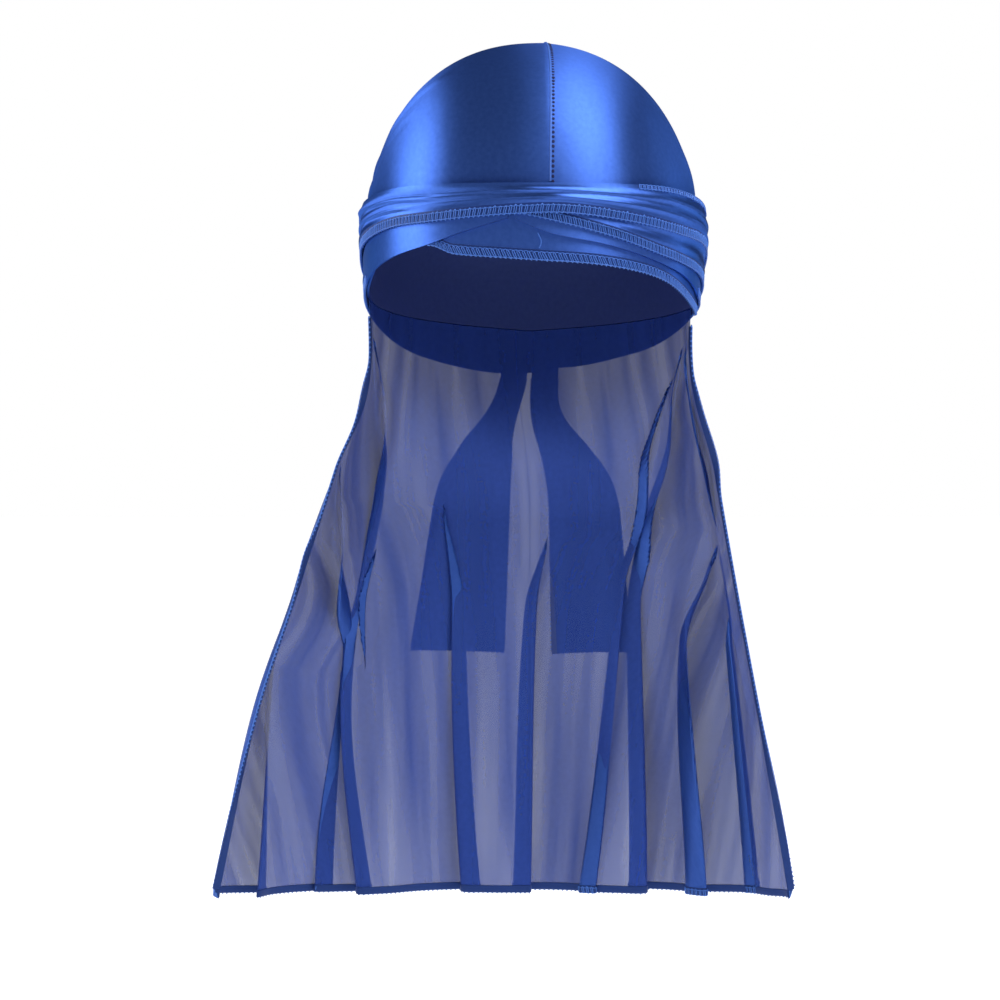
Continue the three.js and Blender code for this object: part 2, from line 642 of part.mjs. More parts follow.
// Tight lump of the knot, grooved where one strap passes round the other.
function knot() {
  const geometry = new THREE.SphereGeometry(0.5, KNOT_SEGMENTS, KNOT_RINGS);
  geometry.scale(KNOT_WIDTH, KNOT_DEPTH, KNOT_HEIGHT);
  const positions = geometry.attributes.position;
  const corner = new THREE.Vector3();
  for (let index = 0; index < positions.count; index += 1) {
    corner.fromBufferAttribute(positions, index);
    const round = Math.atan2(corner.z / KNOT_HEIGHT, corner.x / KNOT_WIDTH);
    const outer = clamp01(corner.y / KNOT_DEPTH + 0.5);
    const groove = KNOT_GROOVE * (1 - Math.cos(2 * round)) * outer;
    corner.multiplyScalar(1 - groove);
    positions.setXYZ(index, corner.x, corner.y, corner.z);
  }
  geometry.translate(knotMiddle.x, knotMiddle.y, knotMiddle.z);
  return geometry;
}

// Rise of the highest of the tail's folds between two places.
function highestFold(from, to, share) {
  let highest = 0;
  for (let sample = 0; sample <= FOLD_SAMPLES; sample += 1) {
    highest = Math.max(highest, tailFold(mix(from, to, sample / FOLD_SAMPLES), share));
  }
  return highest;
}

// Free end of a strap, which leaves the knot's underside, comes to lie on the tail's folds
// and hangs down over them. A side of 1 is the wearer's left.
function strapEnd(side) {
  const start = knotMiddle.z - KNOT_HEIGHT / 2 - PIECE_GAP;
  const tailTop = rimHeight(180);
  const skin = (face) => grid(END_ROWS, END_COLUMNS, (along, across) => {
    const height = start - END_LENGTH * along;
    const share = (tailTop - height) / TAIL_LENGTH;
    const spread = ease(along / END_SPREAD);
    const width = mix(END_ROOT_WIDTH, END_WIDTH, spread) * END_FULLNESS;
    const halfWidth = width / TAIL_HALF_WIDTH / 2;
    const middle = END_PLACE * mix(END_ROOT_PLACE, 1, spread);
    const place = -side * mix(middle - halfWidth, middle + halfWidth, across);
    const ridge = highestFold(-side * (middle - halfWidth), -side * (middle + halfWidth), share);
    const fold = END_FOLD * Math.sin(Math.PI * across);
    const rise = fold + face * END_CLOTH;
    const fromKnot = new THREE.Vector3(
      side * (END_ROOT_INSET + across * END_ROOT_WIDTH),
      knotMiddle.y - END_CLOTH / 2 + rise,
      height,
    );
    const hanging = tailMiddle(place, share)
      .addScaledVector(tailNormal(place, share), CLOTH + END_GAP + ridge + rise);
    return fromKnot.lerp(hanging, ease(along / END_SETTLE));
  });
  return wall(skin(0), skin(1));
}

add('crown_panel_right', crownPanel(-1), SATIN);
add('crown_panel_left', crownPanel(1), SATIN);
add('centre_seam', centreSeam(), THREAD);
add('front_hem', frontHem(), THREAD);
add('tail_panel_right', tailPanel(-1), SATIN);
add('tail_panel_left', tailPanel(1), SATIN);
add('tail_hem', tailHem(), THREAD);
add('strap_right', strap(-1, STRAP_RIGHT), SATIN);
add('strap_left', strap(1, STRAP_LEFT), SATIN);
add('knot', knot(), SATIN);
add('strap_end_right', strapEnd(-1), SATIN);
add('strap_end_left', strapEnd(1), SATIN);

export default durag;
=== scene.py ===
"""Satin durag, worn and tied: crown panels, seam, overlocked hems, wound straps, knot and tail."""
import math

import bmesh
import bpy
import numpy as np
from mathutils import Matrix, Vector


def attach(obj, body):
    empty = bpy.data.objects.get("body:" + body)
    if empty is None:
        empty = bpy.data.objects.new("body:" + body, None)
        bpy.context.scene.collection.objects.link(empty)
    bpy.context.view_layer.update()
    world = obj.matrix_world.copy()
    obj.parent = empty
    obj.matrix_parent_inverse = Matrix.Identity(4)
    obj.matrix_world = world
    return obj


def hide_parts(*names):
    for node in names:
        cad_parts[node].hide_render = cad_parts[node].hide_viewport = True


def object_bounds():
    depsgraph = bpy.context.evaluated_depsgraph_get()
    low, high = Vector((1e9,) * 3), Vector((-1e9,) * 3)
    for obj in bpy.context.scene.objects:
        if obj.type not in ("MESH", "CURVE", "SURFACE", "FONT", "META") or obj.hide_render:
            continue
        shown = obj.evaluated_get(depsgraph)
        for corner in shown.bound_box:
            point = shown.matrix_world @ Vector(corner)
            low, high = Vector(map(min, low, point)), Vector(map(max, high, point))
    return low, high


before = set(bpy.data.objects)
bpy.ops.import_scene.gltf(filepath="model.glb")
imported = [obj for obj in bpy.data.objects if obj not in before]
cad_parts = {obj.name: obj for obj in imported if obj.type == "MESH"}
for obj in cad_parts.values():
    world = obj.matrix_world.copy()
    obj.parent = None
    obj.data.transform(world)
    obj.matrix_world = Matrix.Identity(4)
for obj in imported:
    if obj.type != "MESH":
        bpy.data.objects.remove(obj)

cad_low, cad_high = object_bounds()

# The durag's own sizes are in millimetres, and MM turns them to metres
MM = 0.001

# Head that the wrap is worn on
HEAD_HALF_WIDTH = 75.2
HEAD_FRONT_REACH = 91.0
HEAD_BACK_REACH = 97.0
CROWN_DEPTH = 92.0
HEAD_ROUNDNESS = 2.2
NAPE_TUCK = 17.0
SIDE_TUCK = 2.5
NAPE_DROP = 60.0

# Cloth, and how the turns of the straps lie on each other
CLOTH = 1.0
STRAP_CLOTH = 0.9
STRAP_STEP = 1.32
STRAP_SEAT = 0.5

# Seam and hems
SEAM_TURN = 4.5
SEAM_SHIFT = 5.0
SEAM_PEAK = 0.6
SEAM_PEAK_SPREAD = 15.0
SEAM_RIDGE = 0.42
RIM_DROP = 100.0
HEM_HEIGHT = 4.2
STITCH_PITCH = 2.3

# Tail
TAIL_LENGTH = 272.0
TAIL_HALF_WIDTH = 150.0
TAIL_DEPTH = 112.0
TAIL_CORNER = 80.0
TAIL_BLEND = 74.0
TAIL_FOLD_DEPTH = 6.5
TAIL_CLOTH = 0.5
PLEAT_REACH = 2.1
PLEAT_STAND = 0.42
TAIL_HEM = 3.4

# Knot and free ends
KNOT_WIDTH = 36.0
KNOT_HEIGHT = 37.0
KNOT_DEPTH = 17.0
KNOT_LEVEL = 121.0
KNOT_OUT = 6.9
END_LENGTH = 140.0
END_WIDTH = 34.0
END_ROOT_WIDTH = 13.0
END_ROOT_INSET = 1.0
END_CLOTH = 1.2
END_GAP = 0.6
END_PLACE = 0.19
END_FOLD = 1.6

# The photograph's view: a level camera in front of the mouth
CAMERA_DISTANCE = 1.55
CAMERA_HEIGHT = -0.2075
CAMERA_ASIDE = -0.0147
METRES_ACROSS_VIEW = 0.460
SENSOR = 36

# How finely the cloth is divided: cells down it and across it
CROWN_CELLS = (100, 170)
TAIL_CELLS = (120, 320)
SEAM_STOPS = 60
FRONT_STOPS = 160
TAIL_SIDE_STOPS = 150
TAIL_END_STOPS = 420

# Steps of place and share over which a normal of the tail is measured
BROAD_STEP = 0.004
FINE_STEP = 0.0008


def rows(columns, *values):
    """A table as one list for each named column."""
    return {name: [row[place] for row in values] for place, name in enumerate(columns)}


# Lower edge of the crown: turn from the front, degrees, and drop as a share of RIM_DROP
RIM = {
    "turn": [-180, -130, -100, -75, -55, -31, -15, 0, 20, 40, 70, 100, 130, 180],
    "drop": [1.25, 1.19, 1.15, 1.10, 1.00, 0.952, 0.972, 0.990, 1.010, 1.055, 1.17, 1.18, 1.20, 1.25],
}

# Each strap from its root to the knot: turn from the front, degrees, towards its own side,
# upper and lower edge as shares of CROWN_DEPTH, and the layer it lies in.
STRAP_COLUMNS = ("turn", "top", "bottom", "layer")
STRAP_RIGHT = rows(
    STRAP_COLUMNS,
    (7, 0.905, 0.930, 1), (19, 0.905, 0.987, 1), (30, 0.910, 1.040, 1), (45, 0.925, 1.085, 1),
    (65, 0.970, 1.155, 1), (80, 1.045, 1.225, 1), (110, 1.115, 1.330, 1), (145, 1.235, 1.500, 2),
    (180, 1.250, 1.560, 3), (215, 1.080, 1.370, 3), (250, 0.890, 1.150, 3), (282, 0.815, 1.020, 3),
    (315, 0.772, 0.975, 3), (338, 0.770, 0.930, 3), (352, 0.773, 0.908, 3), (364, 0.773, 0.912, 3),
    (375, 0.769, 0.921, 2.4), (390, 0.765, 0.935, 2), (405, 0.765, 0.945, 2), (428, 0.785, 0.992, 2),
    (447, 0.805, 1.040, 2), (480, 0.905, 1.190, 3), (510, 1.070, 1.390, 4), (528, 1.240, 1.460, 4.4),
    (536, 1.270, 1.420, 6.5),
)
STRAP_LEFT = rows(
    STRAP_COLUMNS,
    (-5, 0.905, 0.935, 1), (5, 0.900, 1.003, 1), (19, 0.935, 1.046, 1), (38, 1.000, 1.118, 1),
    (58, 1.060, 1.190, 1), (75, 1.100, 1.262, 1), (110, 1.135, 1.330, 1), (145, 1.220, 1.480, 1),
    (180, 1.230, 1.530, 1), (215, 1.010, 1.210, 1), (250, 0.860, 1.040, 1), (282, 0.815, 0.965, 1),
    (305, 0.785, 0.905, 1), (330, 0.780, 0.880, 1), (345, 0.780, 0.885, 1.4), (356, 0.780, 0.908, 2),
    (364, 0.780, 0.937, 2), (380, 0.785, 1.004, 2), (399, 0.790, 1.084, 2), (432, 0.830, 1.160, 2),
    (470, 0.900, 1.240, 2), (500, 0.935, 1.170, 2), (519, 0.990, 1.150, 2.6), (528, 1.080, 1.240, 4.4),
    (536, 1.180, 1.330, 6.5),
)

# Pleats that run along a strap: turns where each starts and ends, its place across the
# strap at both ends, its rise, and its width as a share of the strap's.
PLEAT_COLUMNS = ("start", "end", "place", "place_at_end", "rise", "width")
PLEATS_RIGHT = rows(
    PLEAT_COLUMNS,
    (270, 330, 0.52, 0.26, 1.0, 0.10), (300, 362, 0.66, 0.48, 0.9, 0.09),
    (312, 372, 0.36, 0.22, 0.6, 0.08), (264, 300, 0.78, 0.70, 0.7, 0.07),
    (380, 452, 0.44, 0.14, 1.1, 0.09), (394, 462, 0.62, 0.42, 0.9, 0.08),
    (412, 470, 0.80, 0.66, 0.7, 0.07), (430, 530, 0.22, 0.30, 1.0, 0.09),
    (450, 530, 0.55, 0.58, 1.2, 0.10), (462, 530, 0.82, 0.80, 0.9, 0.08),
    (120, 250, 0.30, 0.34, 1.0, 0.10), (130, 262, 0.62, 0.60, 1.1, 0.10),
    (80, 190, 0.46, 0.82, 0.8, 0.09),
)
PLEATS_LEFT = rows(
    PLEAT_COLUMNS,
    (100, 230, 0.34, 0.30, 1.0, 0.10), (120, 240, 0.68, 0.62, 0.9, 0.10),
    (372, 430, 0.86, 0.74, 0.7, 0.06), (384, 470, 0.62, 0.50, 0.8, 0.08),
    (430, 525, 0.30, 0.34, 0.9, 0.10), (440, 525, 0.74, 0.70, 1.0, 0.09),
)

# Creases of the crown, each from one point to another: turns, and drops as shares of
# CROWN_DEPTH; rise and spread.
CREASES = rows(
    ("turn", "drop", "to_turn", "to_drop", "rise", "spread"),
    (-46, 0.20, -74, 0.47, 1.3, 3.6), (-50, 0.26, -76, 0.55, -0.9, 3.0),
    (-50, 0.37, -84, 0.66, 1.1, 3.2), (-54, 0.44, -84, 0.72, -0.8, 2.8),
    (-70, 0.66, -88, 0.80, 1.0, 2.6), (62, 0.52, 84, 0.76, 0.8, 4.5),
    (50, 0.36, 76, 0.60, 0.5, 6.0), (-108, 0.50, -150, 0.86, 1.0, 5.0),
    (112, 0.52, 150, 0.88, 1.0, 5.0), (168, 0.60, 176, 0.98, 0.8, 4.0),
)

# Tail from its top edge down: drop as a share of TAIL_LENGTH, reach to each side as a share
# of TAIL_HALF_WIDTH, depth of the sides and of the middle as shares of TAIL_DEPTH, and the
# depth of the folds as a share of TAIL_FOLD_DEPTH.
TAIL_SECTIONS = rows(
    ("drop", "right", "left", "side", "middle", "fold"),
    (0.00, 0.505, 0.508, 0.13, 0.84, 0.00), (0.12, 0.527, 0.530, 0.17, 0.80, 0.12),
    (0.25, 0.605, 0.570, 0.26, 0.80, 0.35), (0.45, 0.725, 0.640, 0.42, 0.86, 0.65),
    (0.68, 0.870, 0.725, 0.60, 0.95, 0.90), (1.00, 1.000, 0.830, 0.74, 1.00, 1.00),
)

# Hanging waves of the tail: place from its right edge, -1, to its left, 1, at the top and
# at the bottom, depth as a share of TAIL_FOLD_DEPTH, and width.
TAIL_FOLDS = rows(
    ("top", "bottom", "depth", "width"),
    (-0.92, -0.90, 0.7, 0.06), (-0.74, -0.70, -0.8, 0.07), (-0.58, -0.52, 1.0, 0.07),
    (-0.40, -0.34, -0.8, 0.07), (-0.24, -0.19, 0.8, 0.06), (-0.08, -0.06, -0.6, 0.06),
    (0.08, 0.09, 0.6, 0.06), (0.24, 0.24, -0.8, 0.07), (0.42, 0.39, 1.0, 0.07),
    (0.58, 0.54, -0.9, 0.06), (0.75, 0.70, 0.9, 0.07), (0.92, 0.87, -0.7, 0.06),
)

# Pleats in which the tail doubles over itself: the side that each leans to, and its course
# down the tail, with its place and its overlap in millimetres.
PLEAT_COURSE = ("drop", "place", "overlap")
TAIL_PLEATS = [
    (1, rows(PLEAT_COURSE, (0.02, -0.94, 0), (0.13, -0.88, 8), (0.27, -0.70, 8.5), (0.37, -0.64, 7),
             (0.47, -0.60, 5.5), (0.57, -0.585, 5), (1.0, -0.44, 8))),
    (1, rows(PLEAT_COURSE, (0.24, -0.90, 0), (0.33, -0.86, 6), (0.41, -0.825, 9), (0.58, -0.66, 9),
             (1.0, -0.57, 10))),
    (1, rows(PLEAT_COURSE, (0.52, -0.93, 0), (0.66, -0.89, 3), (0.80, -0.85, 5), (1.0, -0.80, 7))),
    (-1, rows(PLEAT_COURSE, (0.38, -0.50, 0), (0.48, -0.47, 3.5), (0.62, -0.44, 0))),
    (1, rows(PLEAT_COURSE, (0.30, -0.30, 0), (0.50, -0.27, 7), (1.0, -0.20, 10))),
    (-1, rows(PLEAT_COURSE, (0.36, 0.07, 0), (0.50, 0.07, 6), (1.0, 0.06, 9))),
    (-1, rows(PLEAT_COURSE, (0.09, 0.80, 0), (0.155, 0.71, 3.5), (0.25, 0.56, 5), (0.36, 0.455, 5),
              (0.453, 0.37, 5), (1.0, 0.22, 8))),
    (-1, rows(PLEAT_COURSE, (0.04, 0.90, 0), (0.12, 0.87, 7), (0.205, 0.785, 9), (0.294, 0.64, 10),
              (0.385, 0.54, 9.5), (0.497, 0.455, 9), (1.0, 0.38, 10))),
    (-1, rows(PLEAT_COURSE, (0.38, 0.83, 0), (0.437, 0.78, 6), (0.555, 0.65, 8), (1.0, 0.58, 10))),
    (-1, rows(PLEAT_COURSE, (0.03, 0.96, 0), (0.12, 0.95, 3), (0.25, 0.94, 4), (0.36, 0.93, 0))),
    (-1, rows(PLEAT_COURSE, (0.50, 0.86, 0), (0.57, 0.83, 4), (1.0, 0.80, 8))),
]


# Curves and surfaces that the pieces are worked out from, in millimetres

def mix(start, end, share):
    return start + (end - start) * share


def ease(value):
    share = np.clip(value, 0, 1)
    return share * share * (3 - 2 * share)


def unit(vectors):
    return vectors / np.maximum(np.linalg.norm(vectors, axis=-1, keepdims=True), 1e-9)


def table_value(table, along, place, column):
    """Value of a column at each place along another, on a smooth curve through the rows."""
    xs = np.asarray(table[along], float)
    ys = np.asarray(table[column], float)
    slopes = np.empty_like(ys)
    slopes[1:-1] = (ys[2:] - ys[:-2]) / (xs[2:] - xs[:-2])
    slopes[0] = (ys[1] - ys[0]) / (xs[1] - xs[0])
    slopes[-1] = (ys[-1] - ys[-2]) / (xs[-1] - xs[-2])
    inside = np.clip(np.asarray(place, float), xs[0], xs[-1])
    row = np.clip(np.searchsorted(xs, inside, side="right") - 1, 0, len(xs) - 2)
    step = xs[row + 1] - xs[row]
    share = (inside - xs[row]) / step
    square = share * share
    cube = square * share
    return (
        (2 * cube - 3 * square + 1) * ys[row]
        + (cube - 2 * square + share) * step * slopes[row]
        + (3 * square - 2 * cube) * ys[row + 1]
        + (cube - square) * step * slopes[row + 1]
    )


def head_power(value):
    return np.abs(value) ** HEAD_ROUNDNESS


def head_root(value):
    return np.maximum(value, 0) ** (1 / HEAD_ROUNDNESS)


def head_point(turn, height):
    """Points of the head at turns from the front, in degrees, and heights."""
    turn, height = np.broadcast_arrays(np.asarray(turn, float), np.asarray(height, float))
    angle = np.radians(turn)
    below = -CROWN_DEPTH - height
    shrink = head_root(1 - head_power(np.clip(-below / CROWN_DEPTH, 0, 1)))
    tuck = (np.maximum(below, 0) / NAPE_DROP) ** 1.6
    width = (HEAD_HALF_WIDTH - SIDE_TUCK * tuck) * shrink
    back = HEAD_BACK_REACH - NAPE_TUCK * tuck
    reach = np.where(np.cos(angle) > 0, HEAD_FRONT_REACH, back) * shrink
    width, reach = np.maximum(width, 1e-6), np.maximum(reach, 1e-6)
    radius = 1 / head_root(head_power(np.sin(angle) / width) + head_power(np.cos(angle) / reach))
    return np.stack([radius * np.sin(angle), -radius * np.cos(angle), height], axis=-1)


def head_normal(turn, height):
    level = np.minimum(height, -0.8)
    across = head_point(np.add(turn, 0.5), level) - head_point(np.subtract(turn, 0.5), level)
    up = head_point(turn, level + 0.4) - head_point(turn, level - 0.4)
    return unit(np.cross(across, up))


def over_head(turn, height, distance):
    """Points at distances out from the head."""
    return head_point(turn, height) + head_normal(turn, height) * np.asarray(distance)[..., None]


def wrap_turn(turn):
    return (np.asarray(turn, float) + 180) % 360 - 180


def rim_height(turn):
    return -RIM_DROP * table_value(RIM, "turn", wrap_turn(turn), "drop")


def onto_head(points):
    """Points near the head above its widest level, moved onto it."""
    out = points - np.array([0, 0, -CROWN_DEPTH])
    reach = np.where(out[..., 1] < 0, HEAD_FRONT_REACH, HEAD_BACK_REACH)
    size = head_root(
        head_power(out[..., 0] / HEAD_HALF_WIDTH)
        + head_power(out[..., 1] / reach)
        + head_power(out[..., 2] / CROWN_DEPTH)
    )
    return out / size[..., None] + np.array([0, 0, -CROWN_DEPTH])


def crease_rise(turn, height):
    """Rise of the crown's creases, in millimetres."""
    here = head_point(turn, height)
    rise = np.zeros(here.shape[:-1])
    for row in range(len(CREASES["turn"])):
        start = head_point(CREASES["turn"][row], -CROWN_DEPTH * CREASES["drop"][row])
        end = head_point(CREASES["to_turn"][row], -CROWN_DEPTH * CREASES["to_drop"][row])
        along = end - start
        share = np.clip(((here - start) @ along) / (along @ along), 0, 1)
        away = np.linalg.norm(here - start - share[..., None] * along, axis=-1)
        fade = np.sin(np.pi * mix(0.08, 0.92, share))
        rise += CREASES["rise"][row] * fade * np.exp(-(away / CREASES["spread"][row]) ** 2)
    return rise


def crown_point(seam_turn, share, distance):
    """Points of the crown: turn from the seam, share of the way from the top to the rim."""
    seam_turn, share = np.broadcast_arrays(np.asarray(seam_turn, float), np.asarray(share, float))
    turn = seam_turn + SEAM_TURN
    rim = rim_height(turn)
    widest = CROWN_DEPTH / -rim
    rise = np.radians(90 * np.clip(1 - np.maximum(share, 1e-4) / widest, 0, 1))
    height = CROWN_DEPTH * np.sin(rise) ** (2 / HEAD_ROUNDNESS) - CROWN_DEPTH
    plain = head_point(turn, height)
    plain[..., 0] += SEAM_SHIFT * np.sin(rise) ** 2
    onto = onto_head(plain)
    place = np.degrees(np.arctan2(onto[..., 0], -onto[..., 1]))
    front = HEAD_FRONT_REACH * math.sin(math.radians(SEAM_TURN))
    from_seam = np.abs(onto[..., 0] - mix(front, SEAM_SHIFT, np.sin(rise) ** 2))
    peak = SEAM_PEAK * np.exp(-from_seam / SEAM_PEAK_SPREAD) * ease(np.sin(rise) * 1.6)
    below = share >= widest
    at_turn = np.where(below, turn, place)
    at_height = np.where(below, rim * share, onto[..., 2])
    out = np.where(below, 0, peak) + crease_rise(at_turn, at_height) + distance
    return over_head(at_turn, at_height, out)


def strap_bottom(turn):
    """Lowest height that the straps cover, where the tail starts to leave the head."""
    own = np.abs(turn)
    root = table_value(STRAP_RIGHT, "turn", own, "bottom")
    other = table_value(STRAP_LEFT, "turn", own, "bottom")
    return -CROWN_DEPTH * np.maximum(root, other)


def tail_place(place, share):
    turn = wrap_turn(SEAM_TURN + 180 + TAIL_CORNER * place)
    top = rim_height(turn) - 0.3
    height = mix(top, rim_height(180.0) - TAIL_LENGTH, share)
    drop = np.clip((rim_height(180.0) - height) / TAIL_LENGTH, 0, 1)
    leave = ease((strap_bottom(turn) - height) / TAIL_BLEND)
    return turn, height, drop, leave


def tail_middle(place, share):
    """Points of the tail before it folds: place from its left edge, -1, to its right, 1."""
    place, share = np.broadcast_arrays(np.asarray(place, float), np.asarray(share, float))
    turn, height, drop, leave = tail_place(place, share)
    section = {name: table_value(TAIL_SECTIONS, "drop", drop, name) for name in TAIL_SECTIONS}
    side = np.where(place < 0, section["left"], section["right"])
    across = np.radians(90 * place)
    towards_middle = np.maximum(0, np.cos(across)) ** 0.8
    hanging = np.stack([
        -TAIL_HALF_WIDTH * side * np.sin(across),
        TAIL_DEPTH * mix(section["side"], section["middle"], towards_middle),
        height,
    ], axis=-1)
    worn = head_point(turn, np.maximum(height, -CROWN_DEPTH - 1.6 * NAPE_DROP))
    worn[..., 2] = height
    return mix(worn, hanging, leave[..., None])


def tail_fold(place, share):
    """How far the tail's waves stand out, in millimetres."""
    place, share = np.broadcast_arrays(np.asarray(place, float), np.asarray(share, float))
    drop, leave = tail_place(place, share)[2:]
    total = np.zeros(place.shape)
    for row in range(len(TAIL_FOLDS["top"])):
        middle = mix(TAIL_FOLDS["top"][row], TAIL_FOLDS["bottom"][row], drop)
        away = (-place - middle) / TAIL_FOLDS["width"][row]
        total += TAIL_FOLDS["depth"][row] * np.exp(-away ** 2)
    return TAIL_FOLD_DEPTH * leave * table_value(TAIL_SECTIONS, "drop", drop, "fold") * total


def surface_normal(point, place, share, step):
    across = point(place + step, share) - point(place - step, share)
    down = point(place, share + step) - point(place, share - step)
    return unit(np.cross(down, across))


def tail_pleats(place, share, speed):
    """How far the tail's pleats stand out and how far they lean to its left, in millimetres.
    Speed is the width of cloth in a step of place."""
    turn, height, drop, _ = tail_place(place, share)
    free = ease((strap_bottom(turn) - height) / 14)
    stand, lean = np.zeros(place.shape), np.zeros(place.shape)
    for side, course in TAIL_PLEATS:
        overlap = table_value(course, "drop", drop, "overlap") * (drop > course["drop"][0]) * free
        overlap = np.maximum(overlap, 0.0) * (drop < course["drop"][-1] + 1e-6)
        reach = PLEAT_REACH * overlap
        width = np.maximum(reach, 3.0) / 3.2
        away = side * (-place - table_value(course, "drop", drop, "place")) * speed
        bend = (away - 0.8 * width) / (1.7 * width)
        stand = stand - PLEAT_STAND * reach * bend * np.exp(-bend ** 2)
        lean = lean + side * reach * np.exp(-(away / width) ** 2)
    return stand, lean


def tail_folded(place, share):
    place, share = np.broadcast_arrays(np.asarray(place, float), np.asarray(share, float))
    normal = surface_normal(tail_middle, place, share, BROAD_STEP)
    step_aside = tail_middle(place - BROAD_STEP, share) - tail_middle(place + BROAD_STEP, share)
    speed = np.linalg.norm(step_aside, axis=-1) / (2 * BROAD_STEP)
    stand, lean = tail_pleats(place, share, speed)
    stand = stand + tail_fold(place, share)
    lifted = tail_middle(place, share) + normal * stand[..., None]
    return lifted + unit(step_aside) * lean[..., None]


def tail_over(place, share, distance):
    """Points at distances out from the folded tail."""
    normal = surface_normal(tail_folded, place, share, FINE_STEP)
    return tail_folded(place, share) + normal * np.asarray(distance)[..., None]


def pleat_rise(pleats, turn, across):
    """Rise of a strap's pleats, each with a steep lower side."""
    rise = np.zeros(np.broadcast(turn, across).shape)
    for row in range(len(pleats["start"])):
        start, end = pleats["start"][row], pleats["end"][row]
        share = np.clip((turn - start) / (end - start), 0, 1)
        middle = mix(pleats["place"][row], pleats["place_at_end"][row], share)
        away = (across - middle) / pleats["width"][row]
        away = np.where(away > 0, away * 1.9, away * 0.8)
        fade = ease((turn - start) / 14) * ease((end - turn) / 14)
        rise = rise + pleats["rise"][row] * fade * np.exp(-away ** 2)
    return rise


def strap_width(table, turn):
    top = table_value(table, "turn", turn, "top")
    bottom = table_value(table, "turn", turn, "bottom")
    return CROWN_DEPTH * (bottom - top)


def strap_point(side, table, pleats, turn, across, face):
    """Points of a strap: turn along it, share across it, and face from 0, inner, to 1, outer."""
    turn, across = np.broadcast_arrays(np.asarray(turn, float), np.asarray(across, float))
    top = table_value(table, "turn", turn, "top")
    bottom = table_value(table, "turn", turn, "bottom")
    layer = table_value(table, "turn", turn, "layer") - 1
    height = -CROWN_DEPTH * mix(top, bottom, across)
    lift = CLOTH + STRAP_SEAT + layer * STRAP_STEP + face * STRAP_CLOTH
    out = lift + pleat_rise(pleats, turn, across)
    return over_head(side * turn, height, out)


knot_middle = over_head(180.0, -KNOT_LEVEL, KNOT_OUT + KNOT_DEPTH / 2)


def end_point(side, along, across, face):
    """Points of a strap's free end, which leaves the knot's underside and hangs over the tail."""
    along, across = np.broadcast_arrays(np.asarray(along, float), np.asarray(across, float))
    height = knot_middle[2] - KNOT_HEIGHT / 2 + 2.5 - (END_LENGTH + 2.5) * along
    share = (rim_height(180.0) - height) / TAIL_LENGTH
    spread = ease(along / 0.45)
    half = mix(END_ROOT_WIDTH, END_WIDTH, spread) / TAIL_HALF_WIDTH / 2 * 1.1
    middle = END_PLACE * mix(0.45, 1, spread)
    place = -side * mix(middle - half, middle + half, across)
    ways = [-side * mix(middle - half, middle + half, way) for way in np.linspace(0, 1, 9)]
    ridge = np.max([tail_fold(way, share) for way in ways] + [np.zeros(share.shape)], axis=0)
    pleats = 0.5 - 0.5 * np.cos(6 * np.pi * across + 0.8 * np.sin(5 * along))
    fold = END_FOLD * np.sin(np.pi * across)
    fold = fold + 1.1 * pleats * np.sin(np.pi * across) * mix(1, 0.6, along)
    rise = fold + face * END_CLOTH
    from_knot = np.stack([
        side * (END_ROOT_INSET + across * END_ROOT_WIDTH),
        knot_middle[1] - END_CLOTH / 2 + rise,
        height,
    ], axis=-1)
    normal = surface_normal(tail_middle, place, share, BROAD_STEP)
    hanging = tail_middle(place, share) + normal * (CLOTH + END_GAP + ridge + rise)[..., None]
    return mix(from_knot, hanging, ease(along / 0.3)[..., None])


# Meshes

def arc_lengths(points):
    steps = np.linalg.norm(np.diff(points, axis=0), axis=-1)
    return np.concatenate([np.zeros((1, points.shape[1])), np.cumsum(steps, axis=0)]) * MM


def cloth_uv(points):
    """UV map of cloth in metres: first value down the rows, second along the columns."""
    return np.stack([arc_lengths(points), arc_lengths(points.transpose(1, 0, 2)).T], axis=-1)


def grid_mesh(name, corners, faces, uv, looks, slots=None):
    """Mesh from points in millimetres, its UV map given for each point."""
    mesh = bpy.data.meshes.new(name)
    mesh.from_pydata((corners * MM).tolist(), [], [list(face) for face in faces])
    layer = mesh.uv_layers.new(name="cloth")
    loops = np.empty(len(mesh.loops), np.int32)
    mesh.loops.foreach_get("vertex_index", loops)
    layer.data.foreach_set("uv", uv[loops].astype(np.float32).ravel())
    for look in looks:
        mesh.materials.append(look)
    if slots is not None:
        mesh.polygons.foreach_set("material_index", slots)
    return finished(name, mesh)


def closed_wall(name, inner, outer, looks, stitch_shade_cells=None):
    """Closed wall between two grids of points. Looks are the face's, the reverse's and, where the mask of
    painted stitch shade is true
    for a cell of the grid, a darker look: the shade under the stitches is painted in."""
    row_count, column_count = outer.shape[:2]
    count = row_count * column_count
    index = np.arange(count).reshape(row_count, column_count)
    a, b = index[:-1, :-1].ravel(), index[1:, :-1].ravel()
    c, d = index[1:, 1:].ravel(), index[:-1, 1:].ravel()
    outer_faces = np.stack([a, b, c, d], axis=-1)
    inner_faces = np.stack([a, d, c, b], axis=-1) + count
    ring = np.concatenate([index[0, :-1], index[:-1, -1], index[-1, :0:-1], index[:0:-1, 0]])
    after = np.roll(ring, -1)
    rim_faces = np.stack([ring, after, after + count, ring + count], axis=-1)
    faces = np.concatenate([outer_faces, inner_faces, rim_faces])
    slots = np.zeros(len(faces), np.int32)
    slots[len(outer_faces):2 * len(outer_faces)] = 1
    if stitch_shade_cells is not None:
        slots[:len(outer_faces)][stitch_shade_cells.ravel()] = 2
    uv = cloth_uv(outer).reshape(-1, 2)
    corners = np.concatenate([outer.reshape(-1, 3), inner.reshape(-1, 3)])
    return grid_mesh(name, corners, faces, np.concatenate([uv, uv]), looks, slots)


